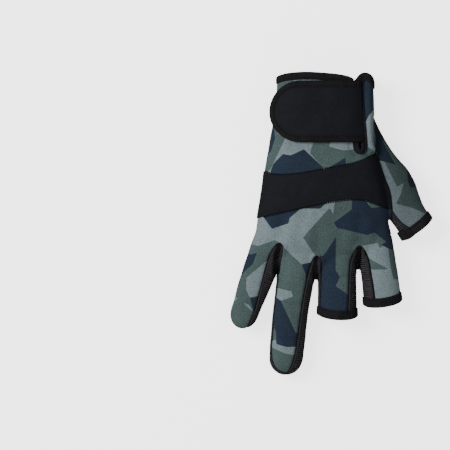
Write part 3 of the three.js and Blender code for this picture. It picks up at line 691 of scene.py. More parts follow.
def line_distance(points, line):
    """Distance in plan to an open line."""
    nearest = np.full(len(points), 1e9)
    line = np.asarray(line, float)
    for a, b in zip(line, line[1:]):
        way = b - a
        t = np.clip(((points - a) @ way) / (way @ way), 0, 1)
        nearest = np.minimum(nearest, np.linalg.norm(points - a - t[:, None] * way, axis=1))
    return nearest


def ripple(points, size, seed):
    """Smooth unevenness between -1 and 1, whose bumps are about size millimetres apart."""
    return np.array([noise.noise(Vector(p) / size + Vector((seed, 0, 0))) for p in points])


facing = normals_of(skin_points)
inward = np.zeros(len(skin_points))
upper = np.clip((skin_points[:, 2] - seam_height(skin_points[:, 1])) / 3, -1, 1)
for side, line, width, depth in FOLDS:
    share = np.clip(upper if side == "back" else -upper, 0, 1)
    d = line_distance(skin_points[:, :2], line)
    inward += share * depth * (np.exp(-(d / width) ** 2) - 0.3 * np.exp(-((d - 2 * width) / width) ** 2))
inward += 0.55 * ripple(skin_points * [1, 0.8, 1], 26.0, 3.0) + 0.22 * ripple(skin_points, 9.0, 8.0)
ELASTIC_HEIGHT = 89.0
GATHER_PITCH = 7.0
elastic = np.exp(-((skin_points[:, 1] - ELASTIC_HEIGHT) / 5.5) ** 2) * np.clip(-upper, 0, 1)
wobble = 6 * ripple(skin_points * [0, 1, 0] + [5, 0, 0], 30.0, 1.0)
inward += elastic * (1.0 + 0.9 * np.cos((skin_points[:, 0] + wobble) * 2 * math.pi / GATHER_PITCH))
tips = [np.linalg.norm(skin_points[:, :2] - finger_point(name, 1.0, 0), axis=1)
        for name in ("pinky", "ring")]
depth = np.clip(np.min(tips, axis=0) / 14, 0.12, 1)
# each seam lies in a sharp groove inside a wide soft one
grooves = 0.8 * np.exp(-(seam_distance / 1.1) ** 2) + 0.35 * np.exp(-seam_distance / 4)
inward += depth * grooves
skin_points = skin_points - facing * inward[:, None]
skin_points[:, 2] = np.maximum(skin_points[:, 2], 0.05)
facing = normals_of(skin_points)
skin_tree = BVHTree.FromPolygons(skin_points.tolist(), skin_faces)

# Printed cloth: a thin foam with a brushed knit face, printed in a splinter pattern of grey, green and
# navy. The print's patches are laid out in plan, and run on round the edges of the hand.
GREENS = [
    [(-64, 126), (-30, 126), (-32, 105), (-40, 90), (-47, 82), (-44, 74), (-37.5, 70.5), (-42, 61),
     (-46, 52), (-50, 44.5), (-60, 40), (-68, 60)],
    [(-14, 76), (-14.5, 67), (-17.5, 58), (-5, 44), (12, 46), (24, 49.5), (40, 56), (37, 58), (30, 63),
     (20, 65), (20, 76)],
    [(-23, -11), (-3, 11.5), (-1, 13), (1.5, 7.5), (2.5, 16), (3.5, 22), (17, 22), (45, -14.5), (25, -18),
     (22, -22), (22, -62), (-9, -62), (-9, -27), (-12.5, -26.5)],
    [(28, 21), (33, 13), (42, 14.5), (40, 19), (29, 24)],
    [(29, -27), (48, -37.3), (31, -37.3), (30.5, -32)],
    [(47.3, -19.5), (62, -16), (68, -46), (51.5, -45), (49, -33)],
    [(-90, -12), (-65, -16.5), (-60, -18), (-46, -13.2), (-43.5, -14.5), (-24, -33), (-17, -34),
     (-15, -140), (-110, -140), (-110, -20)],
    [(30, 12), (60, 18), (60, -6), (40, -20)],
]
LIGHTS = [
    [(-0.5, 67), (0, 76), (19.5, 76), (19.5, 61), (10, 60), (-2, 63)],
    [(-52, -30), (-63, -39), (-69.3, -44.2), (-69.3, -54), (-66.5, -60.2), (-58.5, -59), (-50, -40)],
    [(-72, -64.2), (-67, -66.5), (-62.3, -73.2), (-67, -69.5)],
    [(-88, -57), (-76, -61), (-90, -68)],
    [(-46.5, -52), (-33.5, -55), (-32.5, -54.8), (-31, -59.5), (-41, -63), (-46.5, -60)],
    [(-45.2, -95), (-60, -97), (-56, -101), (-47.5, -102), (-38, -106), (-28, -108), (-18, -108),
     (-20, -99.5), (-44.6, -98.6)],
    [(-95, -84), (-70, -92), (-60, -100), (-90, -110)],
]
NAVIES = [
    [(-49.5, 44), (-47.5, 49), (-39.5, 57.2), (-33, 56), (-22.3, 61), (-7, 46.5), (-6, 45), (-20, 38),
     (-40, 36), (-50, 40)],
    [(-4, 45), (11.5, 54), (12, 49), (12, 42)],
    [(-60, 90), (-48, 84), (-46.2, 70), (-50, 60), (-62, 50)],
    [(23, 128), (23, 80), (28.4, 83.6), (31, 89), (34.5, 92), (44, 97), (48, 126)],
    [(-58, 8), (-55, 5), (-48.3, -4), (-35, 0.5), (-34, 5), (-24.5, 12.8), (-9, 12.5), (-5, 16.5), (-2, 22),
     (-30, 20), (-58, 12)],
    [(17, 24), (16.8, 12), (2, 1), (5, -3.2), (13, -5), (29.5, -9), (36, -7), (45, -14.3), (46, -14.6),
     (41, -17), (47.5, -20), (60, -24), (66, 0), (56, 12), (42, 14.2), (33, 13), (28, 19.5), (29, 26)],
    [(4, -10.5), (4, -38), (7.5, -43.5), (4, -51), (15.5, -58.5), (17, -80), (-14, -80), (-10, -26),
     (-6, -26)],
    [(-60.5, -23.5), (-64, -33), (-73.5, -41), (-86, -50), (-88, -20), (-66, -25)],
    [(-66.3, -60.8), (-56, -59), (-56, -72), (-62.5, -72.3), (-64.5, -67.5)],
    [(-46, -60), (-41, -63), (-28.5, -89.5), (-18, -89), (-18, -100.5), (-36, -101), (-44.6, -98.6),
     (-45.2, -88), (-54, -75)],
    [(-24, -33), (-16, -31.5), (-12, -40), (-18, -49), (-20.5, -41)],
    [(-72, 36), (-60, 30), (-60, 14), (-74, 4)],
    [(60, -46), (68, -44), (66, -60), (57, -58)],
]
THUMB_GREENS = [
    [(43, 68), (46, 76), (76, 52), (70, 42), (62, 35), (54.2, 30.4), (43.6, 52), (53.3, 49)],
    [(60.4, 35.6), (57.5, 25), (53.5, 16.5), (66, 13.5), (77, 9), (92, 20), (80, 40), (70, 46), (64, 37)],
]
THUMB_NAVIES = [
    [(34, 92), (36.5, 80), (37, 62), (38.5, 54.5), (39.0, 52.5), (53.3, 48.7), (43, 68), (50, 80),
     (44, 98)],
    [(63.5, 46), (72, 50), (80, 34), (69.5, 30.5), (65.5, 30), (63.3, 36)],
]


def inside_any(at, outlines):
    return np.max([inside_by(at, np.array(p, float)) for p in outlines] or [np.full(len(at), -30.0)],
                  axis=0)


# radius of the glove's edges, round which the print is unrolled
EDGE_RADIUS = 8.0


def print_fields(points, facing, greens, lights, navies):
    """Signed distance into the green and into the navy patches, unrolled round the edges."""
    level = np.linalg.norm(facing[:, :2], axis=1)
    angle = np.arctan2(level, facing[:, 2])
    spread = EDGE_RADIUS * (angle - np.sin(angle))
    at = points[:, :2] + facing[:, :2] / (level[:, None] + 1e-6) * spread[:, None]
    return {"green": np.minimum(inside_any(at, greens), -inside_any(at, lights)),
            "navy": inside_any(at, navies)}


# Brushed knit print: a brushed polyester jersey, so it is matt, with a speckled grain of lighter and
# darker fibre ends. Its loops are 0.6 mm apart and are drawn 1.2 mm apart so that they show.
camo_knit, tree, shader, place = start_material(
    "brushed_knit_print", Roughness=0.9, Specular_IOR_Level=0.12, Sheen_Weight=0.03, Sheen_Roughness=0.5)
# beside each seam that shows, the print runs into near black: partly the seam's dark line, partly painted
# shade in its groove
colour = linear("7D8C90")
# dark darkens a panel towards black: painted shade, set on the thumb's back panel only
for field, start, stop, code in (("green", -0.12, 0.12, "4F605F"), ("navy", -0.12, 0.12, "283343"),
                                 ("dark", 0.0, 1.0, "000000"), ("shown_seam", 1.1, 0.1, "0B0C0E")):
    field = add_node(tree, "Attribute", attribute_name=field).outputs["Fac"]
    share = add_node(tree, "MapRange", {0: field, 1: start, 2: stop}, interpolation_type="SMOOTHSTEP")
    colour = add_node(tree, "Mix", {0: share.outputs[0], 6: colour, 7: linear(code)}, data_type="RGBA")
    colour = colour.outputs[2]
fibres = add_node(tree, "TexNoise", {"Vector": place, "Scale": 1050.0, "Detail": 1.0, "Roughness": 0.7})
fading = add_node(tree, "TexNoise", {"Vector": place, "Scale": 45.0, "Detail": 2.0})
for pattern, low, high, code in ((fibres, 0.3, 0.7, "CACACA"), (fading, 0.3, 0.7, "EAEAEA")):
    share = add_node(tree, "MapRange", {0: pattern.outputs["Fac"], 1: low, 2: high})
    shade = add_node(tree, "Mix", {0: share.outputs[0], 6: linear(code), 7: linear("FFFFFF")},
                     data_type="RGBA")
    colour = add_node(tree, "Mix", {0: 1.0, 6: colour, 7: shade.outputs[2]}, data_type="RGBA",
                      blend_type="MULTIPLY").outputs[2]
tree.links.new(colour, shader.inputs["Base Color"])
loops = add_node(tree, "TexWave", {"Vector": place, "Scale": 260.0, "Distortion": 3.0, "Detail": 1.0,
                                   "Detail Scale": 2.0}, bands_direction="X")
height = add_node(tree, "Mix", {0: 0.55, 6: loops.outputs["Color"], 7: fibres.outputs["Color"]},
                  data_type="RGBA")
bump = add_node(tree, "Bump", {"Height": height.outputs[2], "Strength": 0.6, "Distance": 0.0003})
tree.links.new(bump.outputs["Normal"], shader.inputs["Normal"])

# Lining: the same foam's inner face, a plain black knit that shows only in the openings.
lining_knit, tree, shader, place = start_material(
    "black_knit_lining", Roughness=0.95, Base_Color=linear("0E0E10"), Specular_IOR_Level=0.1)
loops = add_node(tree, "TexVoronoi", {"Vector": place, "Scale": 1100.0})
bump = add_node(tree, "Bump", {"Height": loops.outputs["Distance"], "Strength": 0.6, "Distance": 0.0003})
tree.links.new(bump.outputs["Normal"], shader.inputs["Normal"])

# thickness of the cloth
CLOTH = 1.7


def finish_object(piece, node_name, materials):
    """Shades a piece smooth, gives it its materials, hangs it under the root body and hides the CAD node it
    stands in for.
    """
    for polygon in piece.data.polygons:
        polygon.use_smooth = True
    for material in materials:
        piece.data.materials.append(material)
    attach(piece, "root")
    if node_name:
        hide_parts(node_name)
    return piece


def new_object(name, points, faces):
    """An object from points in millimetres."""
    mesh = bpy.data.meshes.new(name)
    mesh.from_pydata((np.asarray(points) * 0.001).tolist(), [], faces)
    piece = bpy.data.objects.new(name, mesh)
    bpy.context.scene.collection.objects.link(piece)
    return piece


def sewn_panel(name, materials, **extra):
    """One sewn panel: its part of the skin, given the cloth's thickness towards the inside."""
    number = PANELS.index(name)
    picked = [f for f, p in zip(skin_faces, panel_of) if p == number]
    used = sorted({v for f in picked for v in f})
    index = {v: i for i, v in enumerate(used)}
    piece = new_object(name + "_sewn", skin_points[used], [[index[v] for v in f] for f in picked])
    fields = {"seam": seam_distance, "shown_seam": shown_distance, **extra}
    for key, values in fields.items():
        piece.data.attributes.new(key, "FLOAT", "POINT").data.foreach_set("value", values[used])
    finish_object(piece, name, materials)
    wall = piece.modifiers.new("cloth", "SOLIDIFY")
    wall.thickness = CLOTH * 0.001
    wall.offset = -1.0
    wall.material_offset = 1
    return piece


sewn_panel("back_panel", (camo_knit, lining_knit), dark=np.zeros(len(skin_points)),
           **print_fields(skin_points, facing, GREENS, LIGHTS, NAVIES))
# the thumb's back panel is darkened by painted shade
sewn_panel("thumb_back_panel", (camo_knit, lining_knit), dark=np.full(len(skin_points), 0.42),
           **print_fields(skin_points, facing, THUMB_GREENS, [], THUMB_NAVIES))

# Palm and thumb leather: synthetic leather embossed with fine dots 1.25 mm apart for grip, a little shiny
# where it is pressed smooth. Its dots are lighter and its pits darker: painted light and shade on the
# emboss.
dotted_leather, tree, shader, place = start_material(
    "dot_embossed_leather", Roughness=0.5, Specular_IOR_Level=0.22)
dots = add_node(tree, "TexVoronoi", {"Vector": place, "Scale": 800.0, "Randomness": 0.35})
# dome: lighter on each dot and darker in the pits between, painted shade in the pits
dome = add_node(tree, "MapRange", {0: dots.outputs["Distance"], 1: 0.15, 2: 0.55, 3: 1.0, 4: 0.0},
                interpolation_type="SMOOTHSTEP").outputs[0]
skin_grain = add_node(tree, "TexNoise", {"Vector": place, "Scale": 240.0, "Detail": 5.0, "Roughness": 0.65})
wear = add_node(tree, "TexNoise", {"Vector": place, "Scale": 30.0, "Detail": 3.0}).outputs["Fac"]
worn = add_node(tree, "MapRange", {0: wear, 1: 0.4, 2: 0.7, 3: 0.0, 4: 0.35})
seam = add_node(tree, "Attribute", attribute_name="seam").outputs["Fac"]
# near black at the seams: painted shade in the seam's groove
seam_groove_shade = add_node(tree, "MapRange", {0: seam, 1: 0.2, 2: 1.2, 3: 0.8, 4: 0.0},
                  interpolation_type="SMOOTHSTEP")
colour = linear("131113")
for share, code in ((dome, "242226"), (worn.outputs[0], "2E2B2F"), (seam_groove_shade.outputs[0], "050506")):
    colour = add_node(tree, "Mix", {0: share, 6: colour, 7: linear(code)}, data_type="RGBA").outputs[2]
tree.links.new(colour, shader.inputs["Base Color"])
gloss = add_node(tree, "MapRange", {0: skin_grain.outputs["Fac"], 1: 0.3, 2: 0.7, 3: 0.42, 4: 0.62})
tree.links.new(gloss.outputs[0], shader.inputs["Roughness"])
height = add_node(tree, "Math", {0: skin_grain.outputs["Fac"], 1: 0.4, 2: dome}, operation="MULTIPLY_ADD")
bump = add_node(tree, "Bump", {"Height": height.outputs[0], "Strength": 0.55, "Distance": 0.0003})
tree.links.new(bump.outputs["Normal"], shader.inputs["Normal"])

sewn_panel("palm_panel", (dotted_leather, lining_knit))

# Finger strips: plain matt synthetic leather, overlocked to its neighbours. The seam thread draws fine
# ribs across each strip, and each edge is a thin rolled welt.
ribbed_leather, tree, shader, place = start_material(
    "overlocked_strip_leather", Roughness=0.75, Specular_IOR_Level=0.08)
run = add_node(tree, "Attribute", attribute_name="run").outputs["Fac"]
seam = add_node(tree, "Attribute", attribute_name="seam").outputs["Fac"]
phase = add_node(tree, "Math", {0: run, 1: 2 * math.pi / 1.7}, operation="MULTIPLY")
wave = add_node(tree, "Math", {0: phase.outputs[0]}, operation="SINE")
rib = add_node(tree, "MapRange", {0: wave.outputs[0], 1: -0.9, 2: 0.9}, interpolation_type="SMOOTHSTEP")
rise = add_node(tree, "MapRange", {0: seam, 1: 0.3, 2: 1.2}, interpolation_type="SMOOTHSTEP")
fall = add_node(tree, "MapRange", {0: seam, 1: 1.6, 2: 2.6, 3: 1.0, 4: 0.0},
                interpolation_type="SMOOTHSTEP")
welt = add_node(tree, "Math", {0: rise.outputs[0], 1: fall.outputs[0]}, operation="MULTIPLY")
# edge: near black right at each seam, painted shade in the seam's crease
edge = add_node(tree, "MapRange", {0: seam, 1: 0.1, 2: 0.8, 3: 0.9, 4: 0.0},
                interpolation_type="SMOOTHSTEP")
grain = add_node(tree, "TexNoise", {"Vector": place, "Scale": 700.0, "Detail": 3.0})
speck = add_node(tree, "MapRange", {0: grain.outputs["Fac"], 1: 0.5, 2: 0.75, 3: 0.0, 4: 0.7})
colour = linear("0D0C0D")
for share, code in ((rib.outputs[0], "363336"), (speck.outputs[0], "4B484B"), (welt.outputs[0], "2A282B"),
                    (edge.outputs[0], "050505")):
    colour = add_node(tree, "Mix", {0: share, 6: colour, 7: linear(code)}, data_type="RGBA").outputs[2]
tree.links.new(colour, shader.inputs["Base Color"])
height = add_node(tree, "Math", {0: rib.outputs[0], 1: 0.45, 2: welt.outputs[0]},
                  operation="MULTIPLY_ADD")
height = add_node(tree, "Math", {0: grain.outputs["Fac"], 1: 0.3, 2: height.outputs[0]},
                  operation="MULTIPLY_ADD")
bump = add_node(tree, "Bump", {"Height": height.outputs[0], "Strength": 0.8, "Distance": 0.0006})
tree.links.new(bump.outputs["Normal"], shader.inputs["Normal"])

for name, (first, second, *_rest) in STRIPS.items():
    runs = []
    for finger in (first, second):
        root, along, across = finger_frame(finger)
        rel = skin_points[:, :2] - root
        runs.append((np.abs(rel @ across), rel @ along))
    nearer = runs[0][0] < runs[1][0]
    sewn_panel(name, (ribbed_leather, lining_knit), run=np.where(nearer, runs[0][1], runs[1][1]))

# The same strip leather covers the thumb's inner side, so the thumb's palm panel carries both.
thumb_root, thumb_along, _ = finger_frame("thumb")
thumb_palm = sewn_panel("thumb_palm_panel", (dotted_leather, lining_knit, ribbed_leather, lining_knit),
                        run=(skin_points[:, :2] - thumb_root) @ thumb_along)
middles = np.array([polygon.center for polygon in thumb_palm.data.polygons]) * 1000
for polygon, share in zip(thumb_palm.data.polygons, inside_by(middles[:, :2], THUMB_INNER)):
    polygon.material_index = 2 if share > 0 else 0

# Edge tapes: a knitted stretch tape is folded over each cut edge and sewn through, 4.6 to 6.4 mm deep
# outside and 3 to 5 mm inside. It stands 1 to 1.2 mm proud of the cloth and rounds over the edge.


def edge_loops(faces):
    """The open edges of the skin as loops of points, with the cloth on the left."""
    directed = {(a, b) for f in faces for a, b in zip(f, f[1:] + f[:1])}
    follow = {a: b for a, b in directed if (b, a) not in directed}
    loops = []
    while follow:
        start, at = next(iter(follow.items()))
        loop = [start]
        del follow[start]
        while at != start and at in follow:
            loop.append(at)
            at = follow.pop(at)
        loops.append(loop)
    return sorted(loops, key=len, reverse=True)


def evenly(values, lengths, spacing, closed):
    """Values along a line at equal spacing."""
    total = lengths[-1]
    count = max(4, round(total / spacing))
    at = np.linspace(0, total, count, endpoint=not closed)
    return np.column_stack([np.interp(at, lengths, values[:, k]) for k in range(values.shape[1])])


def evened(values, rounds, closed):
    """Evens a line of values out along its length."""
    for _ in range(rounds):
        if closed:
            values = (np.roll(values, 1, axis=0) + 2 * values + np.roll(values, -1, axis=0)) / 4
        else:
            inner = (values[:-2] + 2 * values[1:-1] + values[2:]) / 4
            values = np.concatenate([values[:1], inner, values[-1:]])
    return values


def unit(vectors):
    return vectors / np.maximum(np.linalg.norm(vectors, axis=-1, keepdims=True), 1e-9)


def lengths_along(line):
    """Length of an open line up to each of its points."""
    return np.concatenate([[0], np.cumsum(np.linalg.norm(np.diff(line, axis=0), axis=1))])


def cloth_rows(rim, facing_rim, closed, distances):
    """Points and normals of the cloth at distances in from an edge. Below nought is beyond it."""
    if closed:
        way = unit(np.roll(rim, -1, axis=0) - np.roll(rim, 1, axis=0))
    else:
        way = unit(np.gradient(rim, axis=0))
    out = unit(evened(np.cross(way, facing_rim), 3, closed))
    points, normals = {}, {}
    for d in [x for x in distances if x <= 0]:
        points[d], normals[d] = rim - out * d, facing_rim
    at, normal, heading, done = rim.copy(), facing_rim.copy(), -out, 0.0
    for d in sorted(x for x in distances if x > 0):
        steps = max(1, math.ceil((d - done) / 1.0))
        for _ in range(steps):
            target = at + heading * (d - done) / steps
            for k, p in enumerate(target):
                place_on, normal_on, _, _ = skin_tree.find_nearest(p)
                at[k], normal[k] = place_on, normal_on
            heading = unit(heading - normal * (heading * normal).sum(axis=1, keepdims=True))
        done = d
        points[d], normals[d] = evened(at, 4, closed), unit(evened(normal, 6, closed))
    return points, normals


def swept(name, grid, closed_line):
    """A closed skin through rows of points, each row one closed profile."""
    rows, columns = grid.shape[:2]
    faces = []
    for i in range(rows if closed_line else rows - 1):
        for j in range(columns):
            a, b = i * columns + j, i * columns + (j + 1) % columns
            c, d = (i + 1) % rows * columns + (j + 1) % columns, (i + 1) % rows * columns + j
            faces.append((a, b, c, d))
    if not closed_line:
        faces.append(tuple(range(columns))[::-1])
        faces.append(tuple((rows - 1) * columns + j for j in range(columns)))
    piece = new_object(name, grid.reshape(-1, 3), faces)
    turned = bmesh.new()
    turned.from_mesh(piece.data)
    bmesh.ops.recalc_face_normals(turned, faces=turned.faces)
    turned.to_mesh(piece.data)
    turned.free()
    return piece


def tape_profile(outside, inside, thick, cloth, reach=1.5):
    """The folded tape's closed profile as distances in from the edge and heights over the cloth."""
    profile = [(outside, 0.0), (outside - 0.05, 0.6 * thick), (outside - 0.4, 0.92 * thick),
               (outside - 1.2, thick), (outside - 1.7, 0.86 * thick), (outside - 2.3, thick),
               (0.5 * outside, 1.04 * thick), (1.0, 1.06 * thick), (0.0, thick)]
    middle, radius = -cloth / 2, cloth / 2 + thick
    for a in (65, 35, 0, -35, -65):
        profile.append((-reach * math.cos(math.radians(a)), middle + radius * math.sin(math.radians(a))))
    profile += [(0.0, -cloth - thick), (inside - 0.6, -cloth - thick), (inside, -cloth - 0.2),
                (inside - 0.2, -0.6 * cloth), (outside - 0.4, -0.3 * cloth)]
    return profile


def edge_tape(name, rim, facing_rim, closed, profile, swell=0.0):
    """Folds a tape over an edge, thicker by swell, and returns the piece with its rows."""
    keys = sorted({round(d, 3) for d, _ in profile})
    points, normals = cloth_rows(rim, facing_rim, closed, keys)
    out = unit(points[keys[0]] - rim)
    rise = 0.12 * np.array([noise.noise(Vector(p) / 3.0) for p in rim])[:, None] + swell
    grid = np.stack([points[round(d, 3)] + normals[round(d, 3)] * (h + (rise if h > 0.3 else 0))
                     + (out * swell if d <= 0 else 0) for d, h in profile], axis=1)
    return swept(name, grid, closed), points, normals


def thread(name, lines, pitch=2.6, length=1.9, radius=0.26):
    """A run of stitches: short lengths of thread laid along lines of points and normals."""
    points, faces = [], []
    for line, normal in lines:
        lengths = lengths_along(line)
        for start in np.arange(pitch / 2, lengths[-1] - length, pitch):
            rows = []
            for t, swell, sink in ((0.0, 0.35, -0.35), (0.18, 1, -0.02), (0.82, 1, -0.02),
                                   (1.0, 0.35, -0.35)):
                at = start + t * length
                p = np.array([np.interp(at, lengths, line[:, k]) for k in range(3)])
                q = np.array([np.interp(at + 0.05, lengths, line[:, k]) for k in range(3)])
                n = unit(np.array([np.interp(at, lengths, normal[:, k]) for k in range(3)]))
                way = unit(q - p)
                across = np.cross(way, n)
                rows.append([p + n * sink + radius * swell * (math.cos(a) * across + math.sin(a) * n)
                             for a in np.linspace(0, 2 * math.pi, 6, endpoint=False)])
            base = len(points)
            points += [p for row in rows for p in row]
            for r in range(3):
                for k in range(6):
                    j = (k + 1) % 6
                    faces.append((base + r * 6 + k, base + r * 6 + j, base + r * 6 + 6 + j,
                                  base + r * 6 + 6 + k))
            faces.append(tuple(base + k for k in range(5, -1, -1)))
            faces.append(tuple(base + 18 + k for k in range(6)))
    return new_object(name, points, faces)


# Knitted tape: matt black, with the loops of its stretch knit 1.1 mm apart and a little pale lint.
knitted_tape, tree, shader, place = start_material(
    "knitted_stretch_tape", Roughness=0.9, Specular_IOR_Level=0.08)
knit = add_node(tree, "TexVoronoi", {"Vector": place, "Scale": 900.0, "Randomness": 0.6})
knit = knit.outputs["Distance"]
lint = add_node(tree, "TexNoise", {"Vector": place, "Scale": 160.0, "Detail": 4.0}).outputs["Fac"]
dusty = add_node(tree, "MapRange", {0: lint, 1: 0.45, 2: 0.75, 3: 0.0, 4: 0.4})
colour = linear("242226")
for share, code in ((knit, "070708"), (dusty.outputs[0], "29262A")):
    colour = add_node(tree, "Mix", {0: share, 6: colour, 7: linear(code)}, data_type="RGBA").outputs[2]
tree.links.new(colour, shader.inputs["Base Color"])
bump = add_node(tree, "Bump", {"Height": knit, "Strength": 0.8, "Distance": 0.0004}, invert=True)
tree.links.new(bump.outputs["Normal"], shader.inputs["Normal"])

# Polyester thread: black and twisted, darker than the cloth round it.
black_thread, tree, shader, place = start_material(
    "black_polyester_thread", Roughness=0.7, Specular_IOR_Level=0.15)
twist = add_node(tree, "TexNoise", {"Vector": place, "Scale": 1500.0, "Detail": 1.0})
colour = add_node(tree, "Mix", {0: twist.outputs["Fac"], 6: linear("020202"), 7: linear("0D0D0E")},
                  data_type="RGBA")
tree.links.new(colour.outputs[2], shader.inputs["Base Color"])

loops = edge_loops(skin_faces)


def rim_of(loop, spacing, closed=True):
    """An open edge as evenly spaced points and normals."""
    ring = loop + loop[:1] if closed else loop
    line, normal = skin_points[ring], facing[ring]
    lengths = lengths_along(line)
    line = evened(evenly(line, lengths, spacing, closed), 6, closed)
    return line, unit(evened(evenly(normal, lengths, spacing, closed), 6, closed))


# the thumb's tape swells here, where it is sewn over the seams of the inner leather strip
SWELL_AT = [60.5, -9.5]
SWELL_HALF = 6.5
SWELL_HIGH = 1.1
# a finger's tape: depth outside, depth inside, thickness; its stitches run this far in from its edge
FINGER_TAPE = (6.4, 5.0, 1.15)
STITCH_INSET = 1.7

tape_threads = []
for name in ("middle", "index", "thumb"):
    mouth = finger_point(name, 1.0, 0)
    loop = min((x for x in loops if len(x) > 40),
               key=lambda x: np.linalg.norm(skin_points[x].mean(axis=0)[:2] - mouth))
    rim, rim_facing = rim_of(loop, 0.9)
    swell = 0.0
    if name == "thumb":
        aside = np.linalg.norm(rim[:, :2] - SWELL_AT, axis=1)[:, None]
        swell = SWELL_HIGH * np.exp(-(aside / SWELL_HALF) ** 4)
    tape, at, normal = edge_tape(name + "_edge_tape", rim, rim_facing, True,
                                 tape_profile(*FINGER_TAPE, CLOTH), swell)
    finish_object(tape, name + "_binding", (knitted_tape,))
    row = round(FINGER_TAPE[0] - STITCH_INSET, 3)
    tape_threads.append((at[row] + normal[row] * 1.0, normal[row]))

cuff_loop = max(loops, key=len)
at_cuff = skin_points[cuff_loop]
in_slit = (from_slit(at_cuff[:, :2]) < 0.4) & (at_cuff[:, 2] > 20)
in_slit &= at_cuff[:, 1] < cuff_height(at_cuff[:, 0]) - 0.3
start = next(k for k in range(len(cuff_loop)) if in_slit[k] and not in_slit[k - 1])
turned_loop = cuff_loop[start:] + cuff_loop[:start]
turned_slit = np.concatenate([in_slit[start:], in_slit[:start]])
last = max(k for k in range(len(turned_loop)) if turned_slit[k])
slit_loop, round_loop = turned_loop[:last + 1], turned_loop[last:] + turned_loop[:1]
rim, rim_facing = rim_of(round_loop, 1.0, False)
tape, at, normal = edge_tape("cuff_edge_tape", rim, rim_facing, False, tape_profile(5.0, 4.6, 1.2, CLOTH))
finish_object(tape, "cuff_binding", (knitted_tape,))
tape_threads.append((at[3.3] + normal[3.3] * 1.05, normal[3.3]))
rim, rim_facing = rim_of(slit_loop, 0.8, False)
tape, at, normal = edge_tape("vent_edge_tape", rim, rim_facing, False,
                             tape_profile(4.6, 3.0, 1.0, CLOTH, 1.0))
finish_object(tape, "slit_binding", (knitted_tape,))
finish_object(thread("edge_tape_stitches", tape_threads), None, (black_thread,))

# Knuckle band: a strip of smooth black neoprene, 0.9 mm thick, sewn flat across the back of the hand along
# both edges and caught in the side seam and the thumb seam.
band_at = inside_by(flat, BAND)
picked = [f for f, p, up, d in zip(skin_faces, panel_of, above, band_at) if p == 0 and up and d > 0]
used = sorted({v for f in picked for v in f})
index = {v: i for i, v in enumerate(used)}
band_bm = bmesh.new()
band_verts = [band_bm.verts.new(skin_points[v]) for v in used]
for f in picked:
    band_bm.faces.new([band_verts[index[v]] for v in f])
bmesh.ops.subdivide_edges(band_bm, edges=list(band_bm.edges), cuts=1, use_grid_fill=True)
band_bm.normal_update()
border = np.array([v.co for v in band_bm.verts if v.is_boundary])
band_points = np.array([v.co for v in band_bm.verts])
band_facing = np.array([v.normal for v in band_bm.verts])
inset = distance_to(band_points, border)
BAND_THICK = 0.9
edge_round = np.sqrt(np.clip(1 - (1 - np.clip(inset / 1.1, 0, 1)) ** 2, 0, 1))
stitch_dip = 0.22 * np.exp(-((inset - 2.0) / 0.5) ** 2)
band_points = band_points + band_facing * (0.04 + BAND_THICK * edge_round - stitch_dip)[:, None]
for vert, p in zip(band_bm.verts, band_points):
    vert.co = p * 0.001
band_mesh = bpy.data.meshes.new("knuckle_band_strip")
band_bm.to_mesh(band_mesh)
band_bm.free()
band = bpy.data.objects.new("knuckle_band_strip", band_mesh)
bpy.context.scene.collection.objects.link(band)

# Knit-faced neoprene: smooth, matt and very slightly bluish, with a grain of 0.5 mm knit loops drawn at
# 1 mm and a soft unevenness of the foam below.
black_neoprene, tree, shader, place = start_material(
    "knit_faced_neoprene", Roughness=0.85, Specular_IOR_Level=0.08)
knit = add_node(tree, "TexNoise", {"Vector": place, "Scale": 1000.0, "Detail": 1.0}).outputs["Fac"]
foam = add_node(tree, "TexNoise", {"Vector": place, "Scale": 70.0, "Detail": 3.0}).outputs["Fac"]
loft = add_node(tree, "MapRange", {0: foam, 1: 0.4, 2: 0.7, 3: 0.0, 4: 0.35})
colour = linear("0E0F12")
for share, code in ((knit, "1F2025"), (loft.outputs[0], "202127")):
    colour = add_node(tree, "Mix", {0: share, 6: colour, 7: linear(code)}, data_type="RGBA").outputs[2]
tree.links.new(colour, shader.inputs["Base Color"])
height = add_node(tree, "Math", {0: foam, 1: 0.7, 2: knit}, operation="MULTIPLY_ADD")
bump = add_node(tree, "Bump", {"Height": height.outputs[0], "Strength": 0.4, "Distance": 0.0003})
tree.links.new(bump.outputs["Normal"], shader.inputs["Normal"])
finish_object(band, "knuckle_band", (black_neoprene,))
band_wall = band.modifiers.new("neoprene", "SOLIDIFY")
band_wall.thickness = 0.0006
band_wall.offset = -1.0


def on_skin(line, lift, spacing=0.8):
    """A plan line laid on the back of the glove, as points and normals."""
    line = np.asarray(line, float)
    lengths = lengths_along(line)
    points, normals = [], []
    for x, y in evenly(line, lengths, spacing, False):
        hit, normal, _, _ = skin_tree.ray_cast(Vector((x, y, 60)), Vector((0, 0, -1)))
        if hit is not None:
            points.append(hit + normal * lift)
            normals.append(normal)
    return evened(np.array(points), 2, False), unit(evened(np.array(normals), 3, False))


def shifted(line, distance):
    """A plan line moved sideways, to its left."""
    way = np.gradient(line, axis=0)
    way /= np.linalg.norm(way, axis=1, keepdims=True)
    return line + np.column_stack([-way[:, 1], way[:, 0]]) * distance


# the stitches run just outside the band's edges
STITCH_OUT = 0.55
top_edge = BAND[(BAND[:, 0] > -54) & (BAND[:, 0] < 38) & (BAND[:, 1] > 30)]
low_edge = BAND[(BAND[:, 0] > -57) & (BAND[:, 0] < 49) & (BAND[:, 1] < 30)]
band_lines = [on_skin(shifted(edge, STITCH_OUT), 0.3) for edge in (top_edge, low_edge)]
band_thread = thread("band_stitches", band_lines, pitch=1.9, length=1.35, radius=0.5)
finish_object(band_thread, None, (black_thread,))

